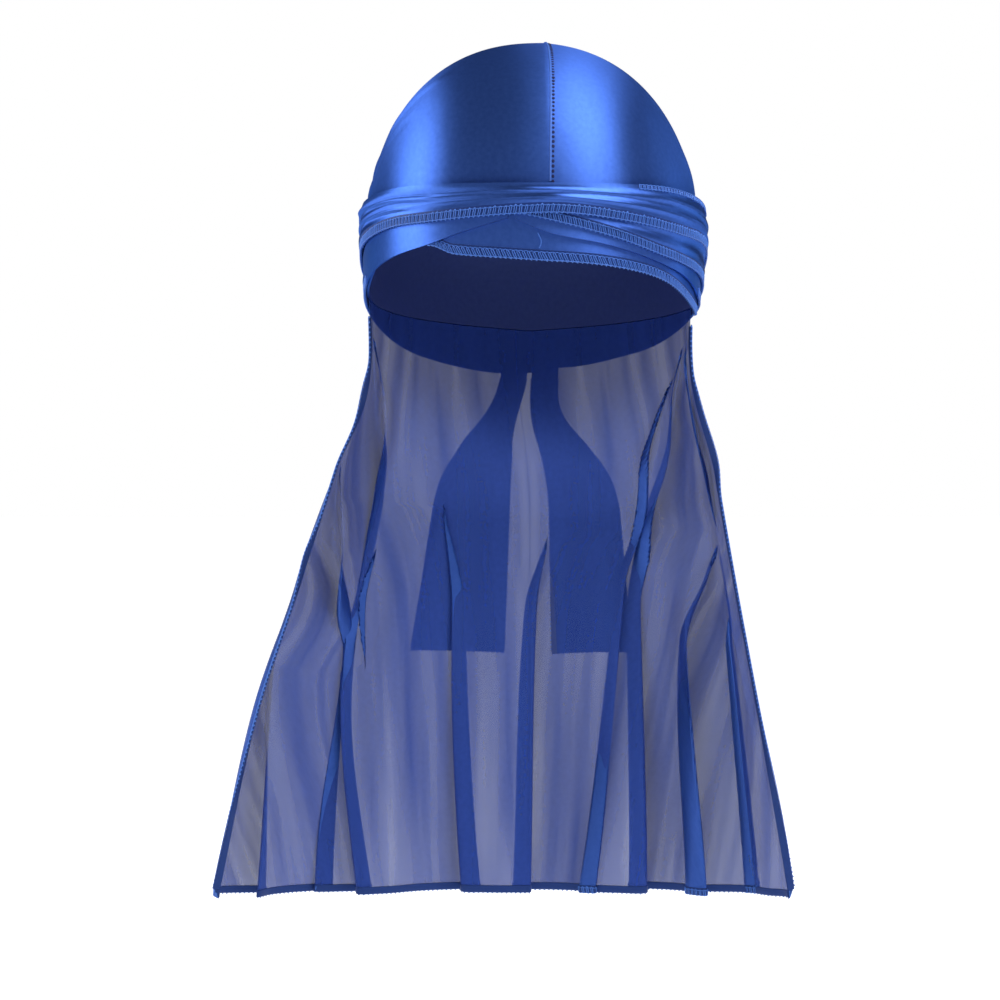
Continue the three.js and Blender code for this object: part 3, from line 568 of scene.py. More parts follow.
def finished(name, mesh, sharp=math.radians(50)):
    """An object whose mesh is closed at its poles, faces outwards and is shaded smooth."""
    work = bmesh.new()
    work.from_mesh(mesh)
    bmesh.ops.remove_doubles(work, verts=work.verts, dist=1e-6)
    bmesh.ops.recalc_face_normals(work, faces=work.faces)
    work.to_mesh(mesh)
    work.free()
    mesh.shade_smooth()
    mesh.set_sharp_from_angle(angle=sharp)
    piece = bpy.data.objects.new(name, mesh)
    bpy.context.scene.collection.objects.link(piece)
    return piece


def swept_bar(name, rings, look):
    """Closed bar through rings of corner points."""
    stations, sides = rings.shape[:2]
    index = np.arange(stations * sides).reshape(stations, sides)
    following = np.roll(index, -1, axis=1)
    walls = np.stack([index[:-1], index[1:], following[1:], following[:-1]], axis=-1).reshape(-1, 4)
    faces = walls.tolist() + [index[0].tolist(), index[-1][::-1].tolist()]
    return grid_mesh(name, rings.reshape(-1, 3), faces, cloth_uv(rings).reshape(-1, 2), [look])


def bar_along(name, edge, outline, look):
    """Closed bar along an edge: its outline is in distances inwards and outwards."""
    points, inwards, outwards = edge
    outline = np.asarray(outline)
    rings = (
        points[:, None, :]
        + inwards[:, None, :] * outline[None, :, :1]
        + outwards[:, None, :] * outline[None, :, 1:]
    )
    return swept_bar(name, rings, look)


def rounded_strip(height, thickness):
    """Outline of a hem: rounded at its edge, 0, and square where it joins the cloth."""
    half = thickness / 2
    bend = [(half - half * math.sin(a), half * math.cos(a)) for a in np.linspace(0, math.pi, 7)]
    return [(height, half)] + bend + [(height, -half)]


def round_outline(radius, sides):
    angles = np.linspace(0, 2 * math.pi, sides, endpoint=False)
    return [(radius * math.cos(a), radius * math.sin(a)) for a in angles]


def declare(piece, slot, *nodes):
    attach(piece, "root")
    if nodes:
        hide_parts(*nodes)
    return piece


# Node trees

def step(tree, kind, inputs=None, **settings):
    """A node of a tree with its settings, each input given as a value or another's output."""
    node = tree.nodes.new(kind)
    for name, value in settings.items():
        setattr(node, name, value)
    for name, value in (inputs or {}).items():
        if isinstance(value, bpy.types.NodeSocket):
            tree.links.new(value, node.inputs[name])
        else:
            node.inputs[name].default_value = value
    return node


def calculate(tree, operation, first, second):
    return step(tree, "ShaderNodeMath", {0: first, 1: second}, operation=operation).outputs[0]


def attribute(tree, name):
    """A direction kept on the path's points."""
    return step(tree, "GeometryNodeInputNamedAttribute", {"Name": name}, data_type="FLOAT_VECTOR")


def new_tree(name, kind, inputs, outputs):
    """A node group with named inputs, each a socket kind and a first value, and outputs."""
    tree = bpy.data.node_groups.new(name, kind)
    for label, (socket, value) in inputs.items():
        made = tree.interface.new_socket(label, in_out="INPUT", socket_type="NodeSocket" + socket)
        if value is not None:
            made.default_value = value
    for label, socket in outputs.items():
        tree.interface.new_socket(label, in_out="OUTPUT", socket_type="NodeSocket" + socket)
    return tree, tree.nodes.new("NodeGroupInput").outputs, tree.nodes.new("NodeGroupOutput").inputs


def overlock_tree():
    """Overlock stitches along a path: thread loops square to the edge, and zigzag threads
    that lock them at the edge and at the needle line."""
    tree, given, result = new_tree("overlock_stitches", "GeometryNodeTree", {
        "Path": ("Geometry", None), "Pitch": ("Float", 0.0023), "Length": ("Float", 0.004),
        "Loop Width": ("Float", 0.00085), "Overhang": ("Float", 0.0004), "Thread": ("Float", 0.00026),
        "Lean": ("Float", 0.25), "Unevenness": ("Float", 0.07), "Seed": ("Int", 1),
        "Finish": ("Material", None),
    }, {"Stitches": "Geometry"})
    tree.is_modifier = True
    inwards = attribute(tree, "inwards")
    outwards = attribute(tree, "outwards")
    curve = step(tree, "GeometryNodeMeshToCurve", {"Mesh": given["Path"]}).outputs["Curve"]
    stops = step(tree, "GeometryNodeResampleCurve", {
        "Curve": curve, "Length": given["Pitch"],
    }, mode="LENGTH")
    ring = step(tree, "GeometryNodeCurvePrimitiveQuadrilateral", {
        "Width": given["Loop Width"], "Height": given["Length"],
    }, mode="RECTANGLE")
    ring = step(tree, "GeometryNodeFilletCurve", {
        "Curve": ring.outputs["Curve"], "Count": 1,
        "Radius": calculate(tree, "MULTIPLY", given["Loop Width"], 0.49),
    }, mode="POLY")
    yarn = step(tree, "GeometryNodeCurvePrimitiveCircle", {
        "Resolution": 5, "Radius": given["Thread"],
    }, mode="RADIUS")
    loop = step(tree, "GeometryNodeCurveToMesh", {
        "Curve": ring.outputs["Curve"], "Profile Curve": yarn.outputs["Curve"],
    })
    half = calculate(tree, "MULTIPLY", given["Length"], 0.5)
    inset = calculate(tree, "SUBTRACT", half, given["Overhang"])
    shift = step(tree, "ShaderNodeCombineXYZ", {"Y": inset, "Z": 0.0001})
    loop = step(tree, "GeometryNodeSetPosition", {
        "Geometry": loop.outputs["Mesh"], "Offset": shift.outputs[0],
    })
    place = step(tree, "ShaderNodeSeparateXYZ", {0: step(tree, "GeometryNodeInputPosition").outputs[0]})
    past = calculate(tree, "MAXIMUM", calculate(tree, "SUBTRACT", 0.0005, place.outputs["Y"]), 0.0)
    sunk = calculate(tree, "MULTIPLY", calculate(tree, "MULTIPLY", past, past), -700.0)
    bend = step(tree, "ShaderNodeCombineXYZ", {"Z": sunk})
    loop = step(tree, "GeometryNodeSetPosition", {
        "Geometry": loop.outputs["Geometry"], "Offset": bend.outputs[0],
    })
    turned = step(tree, "FunctionNodeAxesToRotation", {
        "Primary Axis": outwards.outputs["Attribute"], "Secondary Axis": inwards.outputs["Attribute"],
    }, primary_axis="Z", secondary_axis="Y")
    size = step(tree, "FunctionNodeRandomValue", {
        2: calculate(tree, "SUBTRACT", 1.0, given["Unevenness"]),
        3: calculate(tree, "ADD", 1.0, given["Unevenness"]), "Seed": given["Seed"],
    }, data_type="FLOAT")
    loops = step(tree, "GeometryNodeInstanceOnPoints", {
        "Points": stops.outputs["Curve"], "Instance": loop.outputs["Geometry"],
        "Rotation": turned.outputs["Rotation"], "Scale": size.outputs[1],
    })
    sway = step(tree, "FunctionNodeRandomValue", {
        2: calculate(tree, "SUBTRACT", given["Lean"], given["Unevenness"]),
        3: calculate(tree, "ADD", given["Lean"], given["Unevenness"]), "Seed": given["Seed"],
    }, data_type="FLOAT")
    spin = step(tree, "ShaderNodeCombineXYZ", {"Z": sway.outputs[1]})
    loops = step(tree, "GeometryNodeRotateInstances", {
        "Instances": loops.outputs["Instances"], "Rotation": spin.outputs[0],
    })
    parts = [loops.outputs["Instances"]]
    fine = step(tree, "GeometryNodeResampleCurve", {
        "Curve": curve, "Length": calculate(tree, "MULTIPLY", given["Pitch"], 0.5),
    }, mode="LENGTH")
    parity = calculate(tree, "MODULO", step(tree, "GeometryNodeInputIndex").outputs[0], 2.0)
    zigzag = calculate(tree, "MULTIPLY", parity, given["Thread"])
    inner = calculate(tree, "SUBTRACT", given["Length"], given["Overhang"])
    top = calculate(tree, "SUBTRACT", inner, given["Thread"])
    low = calculate(tree, "MULTIPLY", given["Thread"], 0.6)
    for base, rise in ((top, 0.00012), (low, 0.0001)):
        reach = calculate(tree, "SUBTRACT", base, zigzag)
        run = step(tree, "ShaderNodeVectorMath", {
            0: inwards.outputs["Attribute"], "Scale": reach,
        }, operation="SCALE")
        lift = step(tree, "ShaderNodeVectorMath", {
            0: outwards.outputs["Attribute"], "Scale": rise,
        }, operation="SCALE")
        offset = step(tree, "ShaderNodeVectorMath", {
            0: run.outputs[0], 1: lift.outputs[0],
        }, operation="ADD")
        line = step(tree, "GeometryNodeSetPosition", {
            "Geometry": fine.outputs["Curve"], "Offset": offset.outputs[0],
        })
        cord = step(tree, "GeometryNodeCurvePrimitiveCircle", {
            "Resolution": 4, "Radius": calculate(tree, "MULTIPLY", given["Thread"], 0.8),
        }, mode="RADIUS")
        parts.append(step(tree, "GeometryNodeCurveToMesh", {
            "Curve": line.outputs["Geometry"], "Profile Curve": cord.outputs["Curve"], "Fill Caps": True,
        }).outputs["Mesh"])
    whole = step(tree, "GeometryNodeJoinGeometry")
    for part in parts:
        tree.links.new(part, whole.inputs[0])
    real = step(tree, "GeometryNodeRealizeInstances", {"Geometry": whole.outputs[0]})
    smooth = step(tree, "GeometryNodeSetShadeSmooth", {"Geometry": real.outputs[0]})
    dyed = step(tree, "GeometryNodeSetMaterial", {
        "Geometry": smooth.outputs[0], "Material": given["Finish"],
    })
    tree.links.new(dyed.outputs["Geometry"], result["Stitches"])
    return tree


def hole_tree():
    """Needle holes along a path: small sunken lenses at an even pitch, whose finish paints the shade inside
    them.
    """
    tree, given, result = new_tree("needle_holes", "GeometryNodeTree", {
        "Path": ("Geometry", None), "Pitch": ("Float", 0.0023), "Length": ("Float", 0.0013),
        "Width": ("Float", 0.0011), "Depth": ("Float", 0.0003), "Seed": ("Int", 1),
        "Finish": ("Material", None),
    }, {"Holes": "Geometry"})
    tree.is_modifier = True
    inwards = attribute(tree, "inwards")
    outwards = attribute(tree, "outwards")
    curve = step(tree, "GeometryNodeMeshToCurve", {"Mesh": given["Path"]}).outputs["Curve"]
    stops = step(tree, "GeometryNodeResampleCurve", {
        "Curve": curve, "Length": given["Pitch"],
    }, mode="LENGTH")
    lens = step(tree, "GeometryNodeMeshIcoSphere", {"Radius": 0.5, "Subdivisions": 2})
    turned = step(tree, "FunctionNodeAxesToRotation", {
        "Primary Axis": outwards.outputs["Attribute"], "Secondary Axis": inwards.outputs["Attribute"],
    }, primary_axis="Z", secondary_axis="X")
    size = step(tree, "ShaderNodeCombineXYZ", {
        "X": given["Width"], "Y": given["Length"], "Z": given["Depth"],
    })
    uneven = step(tree, "FunctionNodeRandomValue", {
        2: 0.85, 3: 1.12, "Seed": given["Seed"],
    }, data_type="FLOAT")
    scale = step(tree, "ShaderNodeVectorMath", {
        0: size.outputs[0], "Scale": uneven.outputs[1],
    }, operation="SCALE")
    holes = step(tree, "GeometryNodeInstanceOnPoints", {
        "Points": stops.outputs["Curve"], "Instance": lens.outputs["Mesh"],
        "Rotation": turned.outputs["Rotation"], "Scale": scale.outputs[0],
    })
    real = step(tree, "GeometryNodeRealizeInstances", {"Geometry": holes.outputs[0]})
    smooth = step(tree, "GeometryNodeSetShadeSmooth", {"Geometry": real.outputs[0]})
    dyed = step(tree, "GeometryNodeSetMaterial", {
        "Geometry": smooth.outputs[0], "Material": given["Finish"],
    })
    tree.links.new(dyed.outputs["Geometry"], result["Holes"])
    return tree


def along_paths(name, tree, edges, finish, **values):
    """Plain mesh of what a tree makes along edges, each points with inwards and outwards."""
    mesh = bpy.data.meshes.new(name + "_path")
    lengths = [len(edge[0]) for edge in edges]
    starts = np.cumsum([0] + lengths[:-1])
    lines = [
        (start + i, start + i + 1) for start, length in zip(starts, lengths) for i in range(length - 1)
    ]
    mesh.from_pydata(np.concatenate([edge[0] for edge in edges]) * MM, lines, [])
    for place, label in ((1, "inwards"), (2, "outwards")):
        directions = np.concatenate([edge[place] for edge in edges]).astype(np.float32)
        kept = mesh.attributes.new(label, "FLOAT_VECTOR", "POINT")
        kept.data.foreach_set("vector", directions.ravel())
    carrier = bpy.data.objects.new(name + "_path", mesh)
    bpy.context.scene.collection.objects.link(carrier)
    modifier = carrier.modifiers.new(name, "NODES")
    modifier.node_group = tree
    items = tree.interface.items_tree
    sockets = {item.name: item.identifier for item in items if item.in_out == "INPUT"}
    modifier[sockets["Finish"]] = finish
    for label, value in values.items():
        modifier[sockets[label.replace("_", " ").title()]] = value
    bpy.context.view_layer.update()
    depsgraph = bpy.context.evaluated_depsgraph_get()
    made = bpy.data.meshes.new_from_object(carrier.evaluated_get(depsgraph))
    made.name = name
    bpy.data.objects.remove(carrier)
    piece = bpy.data.objects.new(name, made)
    bpy.context.scene.collection.objects.link(piece)
    return piece


# Materials

def weave_group():
    """Satin weave on the cloth's UV map: thread relief, soft wrinkles, a shade that drifts, and streaks down
    the hang that paint the shade of soft folds.
    """
    tree, given, result = new_tree("satin_weave", "ShaderNodeTree", {
        "Threads": ("Float", 2600), "Wrinkles": ("Float", 30), "Slub": ("Float", 1.1),
    }, {"Height": "Float", "Wrinkle": "Float", "Shade": "Float", "Fold Shade": "Float"})
    cloth = step(tree, "ShaderNodeUVMap", uv_map="cloth").outputs["UV"]
    warp = step(tree, "ShaderNodeMapping", {"Vector": cloth, "Scale": (1, 0.12, 1)}).outputs[0]
    threads = step(tree, "ShaderNodeTexNoise", {"Vector": warp, "Scale": given["Threads"], "Detail": 3.0})
    wrinkles = step(tree, "ShaderNodeTexNoise", {"Vector": cloth, "Scale": given["Wrinkles"], "Detail": 3.0})
    slubs = step(tree, "ShaderNodeTexNoise", {"Vector": cloth, "Scale": 420.0, "Detail": 4.0})
    hanging = step(tree, "ShaderNodeMapping", {"Vector": cloth, "Scale": (5, 70, 1)}).outputs[0]
    fold_shade_streaks = step(tree, "ShaderNodeTexNoise", {"Vector": hanging, "Scale": 1.0, "Detail": 3.0})
    tree.links.new(fold_shade_streaks.outputs["Fac"], result["Fold Shade"])
    centred = calculate(tree, "SUBTRACT", slubs.outputs["Fac"], 0.5)
    shade = calculate(tree, "ADD", calculate(tree, "MULTIPLY", centred, given["Slub"]), 0.5)
    tree.links.new(threads.outputs["Fac"], result["Height"])
    tree.links.new(wrinkles.outputs["Fac"], result["Wrinkle"])
    tree.links.new(shade, result["Shade"])
    return tree


def satin(name, dark, light, metallic, roughness, anisotropic, bump=0.1, wrinkle=0.1, alpha=1.0):
    """Woven satin: its colour drifts between two shades and its threads stretch the highlights."""
    material = bpy.data.materials.new(name)
    material.use_nodes = True
    tree = material.node_tree
    surface = tree.nodes["Principled BSDF"]
    weave = step(tree, "ShaderNodeGroup", {}, node_tree=WEAVE)
    colour = step(tree, "ShaderNodeMix", {
        "Factor": weave.outputs["Shade"], "A": (*dark, 1), "B": (*light, 1),
    }, data_type="RGBA")
    tree.links.new(colour.outputs["Result"], surface.inputs["Base Color"])
    soft = step(tree, "ShaderNodeBump", {
        "Height": weave.outputs["Wrinkle"], "Strength": wrinkle, "Distance": 0.003,
    })
    fine = step(tree, "ShaderNodeBump", {
        "Height": weave.outputs["Height"], "Strength": bump, "Distance": 0.0003, "Normal": soft.outputs[0],
    })
    tree.links.new(fine.outputs["Normal"], surface.inputs["Normal"])
    grain = step(tree, "ShaderNodeTangent", direction_type="UV_MAP", uv_map="cloth")
    tree.links.new(grain.outputs["Tangent"], surface.inputs["Tangent"])
    for label, value in (
        ("Metallic", metallic), ("Roughness", roughness), ("Anisotropic", anisotropic),
        ("Specular Tint", (0.35, 0.55, 1.0, 1)),
    ):
        surface.inputs[label].default_value = value
    # On sheer cloth, streaks stretched down the hang vary the alpha: painted shade of soft folds
    if alpha < 1:
        centred = calculate(tree, "SUBTRACT", weave.outputs["Fold Shade"], 0.5)
        alpha_with_fold_shade = calculate(tree, "ADD", calculate(tree, "MULTIPLY", centred, 0.55), alpha)
        tree.links.new(alpha_with_fold_shade, surface.inputs["Alpha"])
    return material


def thread(name, dark, light, roughness=0.5, metallic=0.2):
    """Twisted sewing thread, on Object coordinates."""
    material = bpy.data.materials.new(name)
    material.use_nodes = True
    tree = material.node_tree
    surface = tree.nodes["Principled BSDF"]
    place = step(tree, "ShaderNodeTexCoord").outputs["Object"]
    twist = step(tree, "ShaderNodeTexNoise", {"Vector": place, "Scale": 2200.0, "Detail": 2.0})
    colour = step(tree, "ShaderNodeMix", {
        "Factor": twist.outputs["Fac"], "A": (*dark, 1), "B": (*light, 1),
    }, data_type="RGBA")
    relief = step(tree, "ShaderNodeBump", {"Height": twist.outputs["Fac"], "Strength": 0.3, "Distance": 0.0001})
    tree.links.new(colour.outputs["Result"], surface.inputs["Base Color"])
    tree.links.new(relief.outputs["Normal"], surface.inputs["Normal"])
    for label, value in (("Metallic", metallic), ("Roughness", roughness)):
        surface.inputs[label].default_value = value
    return material


WEAVE = weave_group()
OVERLOCK = overlock_tree()
HOLES = hole_tree()

crown_satin = satin("crown_satin", (0.036, 0.096, 0.40), (0.060, 0.142, 0.53), 0.88, 0.45, 0.86)
strap_satin = satin("strap_satin", (0.038, 0.100, 0.41), (0.062, 0.146, 0.54), 0.88, 0.43, 0.86)
tail_satin = satin("tail_satin", (0.030, 0.085, 0.38), (0.048, 0.120, 0.48), 0.6, 0.42, 0.6,
                   alpha=0.73)
tail_reverse = satin("tail_reverse", (0.015, 0.040, 0.25), (0.026, 0.060, 0.33), 0.1, 0.55, 0.2,
                     bump=0.2, alpha=0.73)
satin_reverse = satin("satin_reverse", (0.022, 0.035, 0.15), (0.034, 0.050, 0.19), 0.05, 0.6, 0.2,
                      bump=0.2)
overlock_thread = thread("overlock_thread", (0.026, 0.100, 0.42), (0.060, 0.185, 0.62))
seam_thread = thread("seam_thread", (0.030, 0.100, 0.42), (0.055, 0.160, 0.55))
# Darker satin that paints the shade under the overlock stitches: it colours the hem strips and the stitched
# cells of the straps
stitch_shade_satin = satin("stitch_shade_satin", (0.008, 0.022, 0.12), (0.013, 0.034, 0.17), 0.1, 0.55, 0.0)
# Near-black look, made with the thread look, that paints the shade inside the needle holes
needle_hole_shade = thread("needle_hole_shade", (0.002, 0.006, 0.05), (0.004, 0.010, 0.08), 0.9, 0.0)


# Crown

def crown_panel(side, name):
    share = np.linspace(0, 1, CROWN_CELLS[0])[:, None]
    turn = side * np.linspace(0, 180, CROWN_CELLS[1])[None, :]
    level = np.ones(CROWN_CELLS)
    outer, inner = crown_point(turn, share, level * CLOTH), crown_point(turn, share, level * 0)
    return closed_wall(name, inner, outer, [crown_satin, satin_reverse])


crown_right = declare(crown_panel(-1, "crown_cloth_right"), "crown", "crown_panel_right")
crown_left = declare(crown_panel(1, "crown_cloth_left"), "crown", "crown_panel_left")


def seam_line(shares, distance):
    """Centre seam from the front over the top to the back, with the directions to the
    wearer's left and out of the cloth."""
    front, back = np.linspace(*shares[0], SEAM_STOPS), np.linspace(*shares[1], SEAM_STOPS)
    turns = np.concatenate([np.zeros(SEAM_STOPS), np.full(SEAM_STOPS, 180.0)])
    stops = np.concatenate([front, back])
    points = crown_point(turns, stops, np.full(len(stops), distance))
    outwards = unit(crown_point(turns, stops, np.full(len(stops), distance + 1.0)) - points)
    leftwards = unit(np.cross(outwards, np.gradient(points, axis=0)))
    return points, leftwards * np.sign(leftwards[:1, :1]), outwards


def shifted(edge, inwards=0.0, outwards=0.0):
    points = edge[0] + edge[1] * inwards + edge[2] * outwards
    return points, edge[1], edge[2]


seam = seam_line(((0.80, 0.02), (0.02, 0.84)), CLOTH)
declare(
    bar_along("seam_ridge", shifted(seam, -0.2, 0.2), round_outline(SEAM_RIDGE, 8), seam_thread),
    "seam_thread", "centre_seam",
)
# Near-black lenses along the seam paint the shade in the needle holes
declare(
    along_paths("seam_needle_holes", HOLES, [shifted(seam, 0.95, -0.02)], needle_hole_shade,
                pitch=STITCH_PITCH * MM, length=0.0016, width=0.0013, depth=0.0004, seed=3),
    "seam_thread",
)


# Front hem

def front_edge():
    turn = np.linspace(-31, 90, FRONT_STOPS)
    rim = rim_height(turn) - 0.1 + 3.6 * ease((-22 - turn) / 9)
    edge = over_head(turn, rim - HEM_HEIGHT, np.full(FRONT_STOPS, CLOTH / 2))
    top = over_head(turn, rim, np.full(FRONT_STOPS, CLOTH / 2))
    return edge, unit(top - edge), head_normal(turn, rim - HEM_HEIGHT)


front = front_edge()
# The hem strip under the overlock takes the darker satin, a painted shade
declare(
    bar_along("front_hem_cloth", front, rounded_strip(HEM_HEIGHT, 1.1), stitch_shade_satin), "overlock", "front_hem",
)
declare(
    along_paths("front_hem_overlock", OVERLOCK, [shifted(front, 0, 0.55)], overlock_thread,
                pitch=0.00225, length=0.0041, lean=0.45, seed=5),
    "overlock",
)


def loose_thread():
    """Cut end of the hem's thread, lying on the root of the strap."""
    way = np.linspace(0, 1, 14)
    turn = 1.4 + 0.5 * np.sin(4 * way)
    points = over_head(turn, mix(-98.5, -92, way), 2.7 + 0.3 * np.sin(math.pi * way))
    along = unit(np.gradient(points, axis=0))
    aside = unit(np.cross(along, head_normal(turn, points[:, 2])))
    edge = (points, aside, np.cross(aside, along))
    return bar_along("loose_thread_end", edge, round_outline(0.24, 6), overlock_thread)


declare(loose_thread(), "overlock")


# Straps

def strap_edges(side, table, pleats, ranges, upper=False):
    """Edges of a strap over ranges of turn: the lower ones, or the upper."""
    edges = []
    for start, end in ranges:
        turn = np.arange(start, end, 1.2)
        at, inside = (0.0, 0.15) if upper else (1.0, 0.85)
        edge = strap_point(side, table, pleats, turn, at, 1.0)
        within = strap_point(side, table, pleats, turn, inside, 1.0)
        outwards = unit(edge - strap_point(side, table, pleats, turn, at, 0.0))
        edges.append((edge, unit(within - edge), outwards))
    return edges


def strap(side, table, pleats, name, lower, upper=()):
    """Strap whose cloth is stitched along its lower and its upper edge over ranges of turn."""
    turns = np.arange(table["turn"][0], table["turn"][-1] + 0.1, 1.5)[None, :]
    hem = np.minimum(0.5, HEM_HEIGHT / strap_width(table, turns))
    body, edge = np.linspace(0, 1, 38)[:, None], np.linspace(0, 1, 5)[1:, None]
    across = np.concatenate([body * (1 - hem), 1 - hem + edge * hem])
    outer = strap_point(side, table, pleats, turns, across, 1.0)
    inner = strap_point(side, table, pleats, turns, across, 0.0)
    middle = (turns[:, 1:] + turns[:, :-1]) / 2
    # Cells under the stitches, which get the darker look of painted shade
    stitch_shade_cells = np.zeros((len(across) - 1, turns.shape[1] - 1), bool)
    for start, end in lower:
        stitch_shade_cells[-4:] |= (middle > start) & (middle < end)
    for start, end in upper:
        stitch_shade_cells[:4] |= (middle > start) & (middle < end)
    return closed_wall(name, inner, outer, [strap_satin, satin_reverse, stitch_shade_satin], stitch_shade_cells)


LOWER_STITCHES = [(72, 534)]
UPPER_STITCHES = [(276, 331)]
strap_right = declare(
    strap(-1, STRAP_RIGHT, PLEATS_RIGHT, "strap_cloth_right", LOWER_STITCHES, UPPER_STITCHES),
    "strap", "strap_right",
)
strap_left = declare(
    strap(1, STRAP_LEFT, PLEATS_LEFT, "strap_cloth_left", LOWER_STITCHES), "strap", "strap_left",
)
declare(
    along_paths("strap_overlock_right", OVERLOCK,
                strap_edges(-1, STRAP_RIGHT, PLEATS_RIGHT, LOWER_STITCHES),
                overlock_thread, pitch=STITCH_PITCH * MM, length=0.004, lean=-0.2, seed=11),
    "overlock",
)
declare(
    along_paths("strap_upper_overlock_right", OVERLOCK,
                strap_edges(-1, STRAP_RIGHT, PLEATS_RIGHT, UPPER_STITCHES, upper=True),
                overlock_thread, pitch=STITCH_PITCH * MM, length=0.0026, lean=-0.2, seed=13),
    "overlock",
)
declare(
    along_paths("strap_overlock_left", OVERLOCK,
                strap_edges(1, STRAP_LEFT, PLEATS_LEFT, LOWER_STITCHES),
                overlock_thread, pitch=STITCH_PITCH * MM, length=0.004, lean=0.2, seed=12),
    "overlock",
)


# Tail

def tail_panel(side, name):
    share = np.linspace(0, 1, TAIL_CELLS[0])[:, None]
    place = -side * np.linspace(0, 1, TAIL_CELLS[1])[None, :]
    middle = np.full(TAIL_CELLS, CLOTH / 2)
    outer = tail_over(place, share, middle + TAIL_CLOTH / 2)
    inner = tail_over(place, share, middle - TAIL_CLOTH / 2)
    return closed_wall(name, inner, outer, [tail_satin, tail_reverse])


def tail_edge():
    """Edge of the tail's hem: down its left side, along the bottom and up its right side."""
    place = np.concatenate([
        np.full(TAIL_SIDE_STOPS, -1.0), np.linspace(-1, 1, TAIL_END_STOPS), np.full(TAIL_SIDE_STOPS, 1.0),
    ])
    share = np.concatenate([
        np.linspace(0.03, 0.998, TAIL_SIDE_STOPS), np.ones(TAIL_END_STOPS),
        np.linspace(0.998, 0.03, TAIL_SIDE_STOPS),
    ])
    middle = tail_over(place, share, np.full(len(place), CLOTH / 2))
    outwards = surface_normal(tail_folded, place, share, FINE_STEP)
    aside = unit(np.cross(np.gradient(middle, axis=0), outwards))
    return middle + aside * (0.1 + TAIL_HEM), -aside, outwards


tail_right = declare(tail_panel(-1, "tail_cloth_right"), "tail", "tail_panel_right")
tail_left = declare(tail_panel(1, "tail_cloth_left"), "tail", "tail_panel_left")
border = tail_edge()
# The tail's hem strip takes the darker satin, a painted shade under its stitches
declare(
    bar_along("tail_hem_cloth", border, rounded_strip(TAIL_HEM, 1.0), stitch_shade_satin), "overlock", "tail_hem",
)
declare(
    along_paths("tail_overlock", OVERLOCK, [shifted(border, 0, 0.45)], overlock_thread,
                pitch=STITCH_PITCH * MM, length=0.0033, lean=0.1, seed=21),
    "overlock",
)


# Knot and free ends

def knot():
    polar = np.linspace(0, math.pi, 70)[:, None]
    round_it = np.linspace(0, 2 * math.pi, 121)[None, :]
    x = np.sin(polar) * np.cos(round_it)
    y = np.sin(polar) * np.sin(round_it)
    z = np.cos(polar) * np.ones_like(round_it)
    outer = ease(y + 0.5)
    tilt = math.radians(24)
    band = (x * math.cos(tilt) + z * math.sin(tilt)) / 0.36
    on_band = ease((1.25 - np.abs(band)) / 0.3)
    groove = np.exp(-((np.abs(band) - 1.25) / 0.22) ** 2)
    fans = np.cos(11 * np.arctan2(z, x - 0.1 * np.sign(x)))
    rise = outer * (
        0.10 * on_band + 0.02 * on_band * np.cos(2 * math.pi * band * 1.4) - 0.13 * groove
        + 0.03 * (1 - on_band) * fans - 0.06 * (1 - on_band)
    )
    scale = 0.5 * (0.97 + rise)
    lump = np.stack([
        x * KNOT_WIDTH * scale, y * KNOT_DEPTH * scale, z * KNOT_HEIGHT * scale,
    ], axis=-1) + knot_middle
    index = np.arange(lump[..., 0].size).reshape(lump.shape[:2])
    faces = np.stack([index[:-1, :-1], index[1:, :-1], index[1:, 1:], index[:-1, 1:]], axis=-1)
    uv = cloth_uv(lump).reshape(-1, 2)
    return grid_mesh("knot_wrap", lump.reshape(-1, 3), faces.reshape(-1, 4), uv, [strap_satin])


def strap_end(side, name):
    along = np.linspace(0, 1, 120)[:, None]
    across = np.linspace(0, 1, 48)[None, :]
    outer, inner = end_point(side, along, across, 1.0), end_point(side, along, across, 0.0)
    return closed_wall(name, inner, outer, [strap_satin, satin_reverse])


def end_edges(side):
    """The long edges of a free end and its cut edge."""
    along = np.linspace(0.05, 0.985, 120)
    edges = []
    for across, inside in ((np.zeros(120), 0.05), (np.ones(120), -0.05)):
        edge = end_point(side, along, across, 1.0)
        within = end_point(side, along, across + inside, 1.0)
        edges.append((edge, unit(within - edge), unit(edge - end_point(side, along, across, 0.0))))
    across = np.linspace(0.02, 0.98, 60)
    edge = end_point(side, np.ones(60), across, 1.0)
    within = end_point(side, np.full(60, 0.97), across, 1.0)
    edges.append((edge, unit(within - edge), unit(edge - end_point(side, np.ones(60), across, 0.0))))
    return edges


declare(knot(), "strap", "knot")
end_right = declare(strap_end(-1, "strap_end_cloth_right"), "strap", "strap_end_right")
end_left = declare(strap_end(1, "strap_end_cloth_left"), "strap", "strap_end_left")
declare(
    along_paths("strap_end_overlock_right", OVERLOCK, end_edges(-1), overlock_thread,
                pitch=STITCH_PITCH * MM, length=0.0036, lean=0.15, seed=31),
    "overlock",
)
declare(
    along_paths("strap_end_overlock_left", OVERLOCK, end_edges(1), overlock_thread,
                pitch=STITCH_PITCH * MM, length=0.0036, lean=-0.15, seed=32),
    "overlock",
)


# Stage, light and camera

def softbox(name, azimuth, elevation, distance, size, power, aim=(0, 0, -0.12)):
    """Area light at an angle round the crown, aimed at a point."""
    light = bpy.data.lights.new(name, "AREA")
    light.shape = "RECTANGLE"
    light.size, light.size_y = size
    light.energy = power
    lamp = bpy.data.objects.new(name, light)
    turn, rise = math.radians(azimuth), math.radians(elevation)
    level = math.cos(rise)
    place = Vector((math.sin(turn) * level, -math.cos(turn) * level, math.sin(rise)))
    lamp.location = place * distance + Vector((0, 0, -0.12))
    lamp.rotation_mode = "QUATERNION"
    lamp.rotation_quaternion = (Vector(aim) - lamp.location).to_track_quat("-Z", "Y")
    bpy.context.scene.collection.objects.link(lamp)


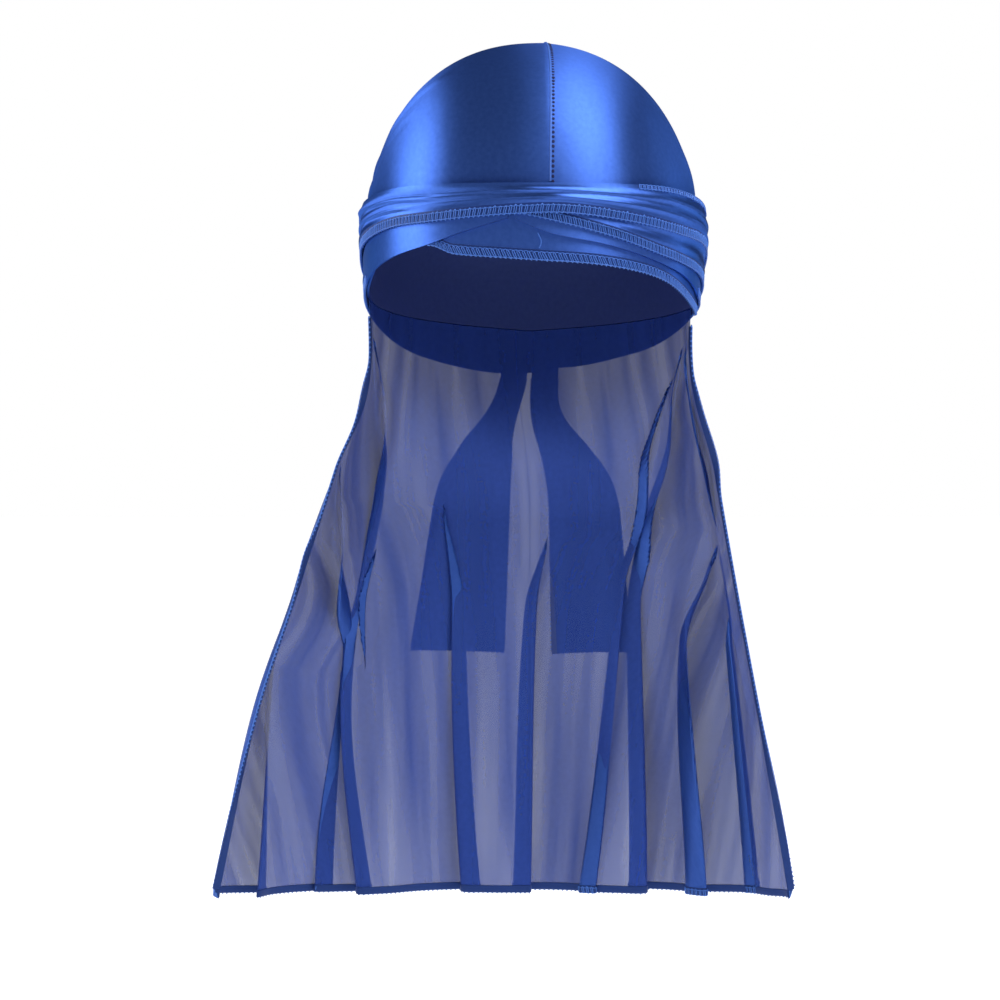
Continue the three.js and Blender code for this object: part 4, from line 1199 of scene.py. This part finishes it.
def stage_and_light():
    """Pale floor, soft lights, and a white sky that is dim in the satin's reflections."""
    level, reach = float(cad_low[2]) - 0.12, 60.0
    mesh = bpy.data.meshes.new("floor")
    corners = [(x * reach, y * reach, level) for x, y in ((-1, -1), (1, -1), (1, 1), (-1, 1))]
    mesh.from_pydata(corners, [], [(0, 1, 2, 3)])
    paper = bpy.data.materials.new("paper")
    paper.use_nodes = True
    surface = paper.node_tree.nodes["Principled BSDF"]
    surface.inputs["Base Color"].default_value = (0.9, 0.9, 0.9, 1)
    surface.inputs["Roughness"].default_value = 0.95
    surface.inputs["Emission Color"].default_value = (1, 1, 1, 1)
    ray = step(paper.node_tree, "ShaderNodeLightPath").outputs["Is Camera Ray"]
    glow = calculate(paper.node_tree, "MULTIPLY", ray, 0.5)
    paper.node_tree.links.new(glow, surface.inputs["Emission Strength"])
    mesh.materials.append(paper)
    floor = bpy.data.objects.new("floor", mesh)
    bpy.context.scene.collection.objects.link(floor)
    world = bpy.data.worlds.new("studio")
    world.use_nodes = True
    tree = world.node_tree
    sky = tree.nodes["Background"]
    sky.inputs["Color"].default_value = (1, 1, 1, 1)
    seen = step(tree, "ShaderNodeLightPath").outputs
    dimmed = calculate(tree, "MULTIPLY", seen["Is Glossy Ray"], -0.60)
    lit = calculate(tree, "ADD", 0.65, dimmed)
    shown = calculate(tree, "MULTIPLY", seen["Is Camera Ray"], 0.35)
    strength = calculate(tree, "ADD", lit, shown)
    tree.links.new(strength, sky.inputs["Strength"])
    bpy.context.scene.world = world
    bpy.context.scene.view_settings.view_transform = "Standard"
    softbox("box_left", azimuth=-96, elevation=20, distance=1.4, size=(0.9, 1.0), power=17)
    softbox("box_right", azimuth=54, elevation=54, distance=1.5, size=(0.85, 1.4), power=29)
    softbox("rim_right", azimuth=120, elevation=10, distance=1.6, size=(0.4, 1.4), power=2)


def camera():
    """Level camera at the photograph's viewing angle."""
    lens = bpy.data.cameras.new("camera")
    lens.sensor_width = SENSOR
    lens.lens = SENSOR * CAMERA_DISTANCE / METRES_ACROSS_VIEW
    eye = bpy.data.objects.new("camera", lens)
    eye.location = (CAMERA_ASIDE, -CAMERA_DISTANCE, CAMERA_HEIGHT)
    eye.rotation_euler = (math.radians(90), 0, 0)
    bpy.context.scene.collection.objects.link(eye)
    bpy.context.scene.camera = eye


stage_and_light()
camera()
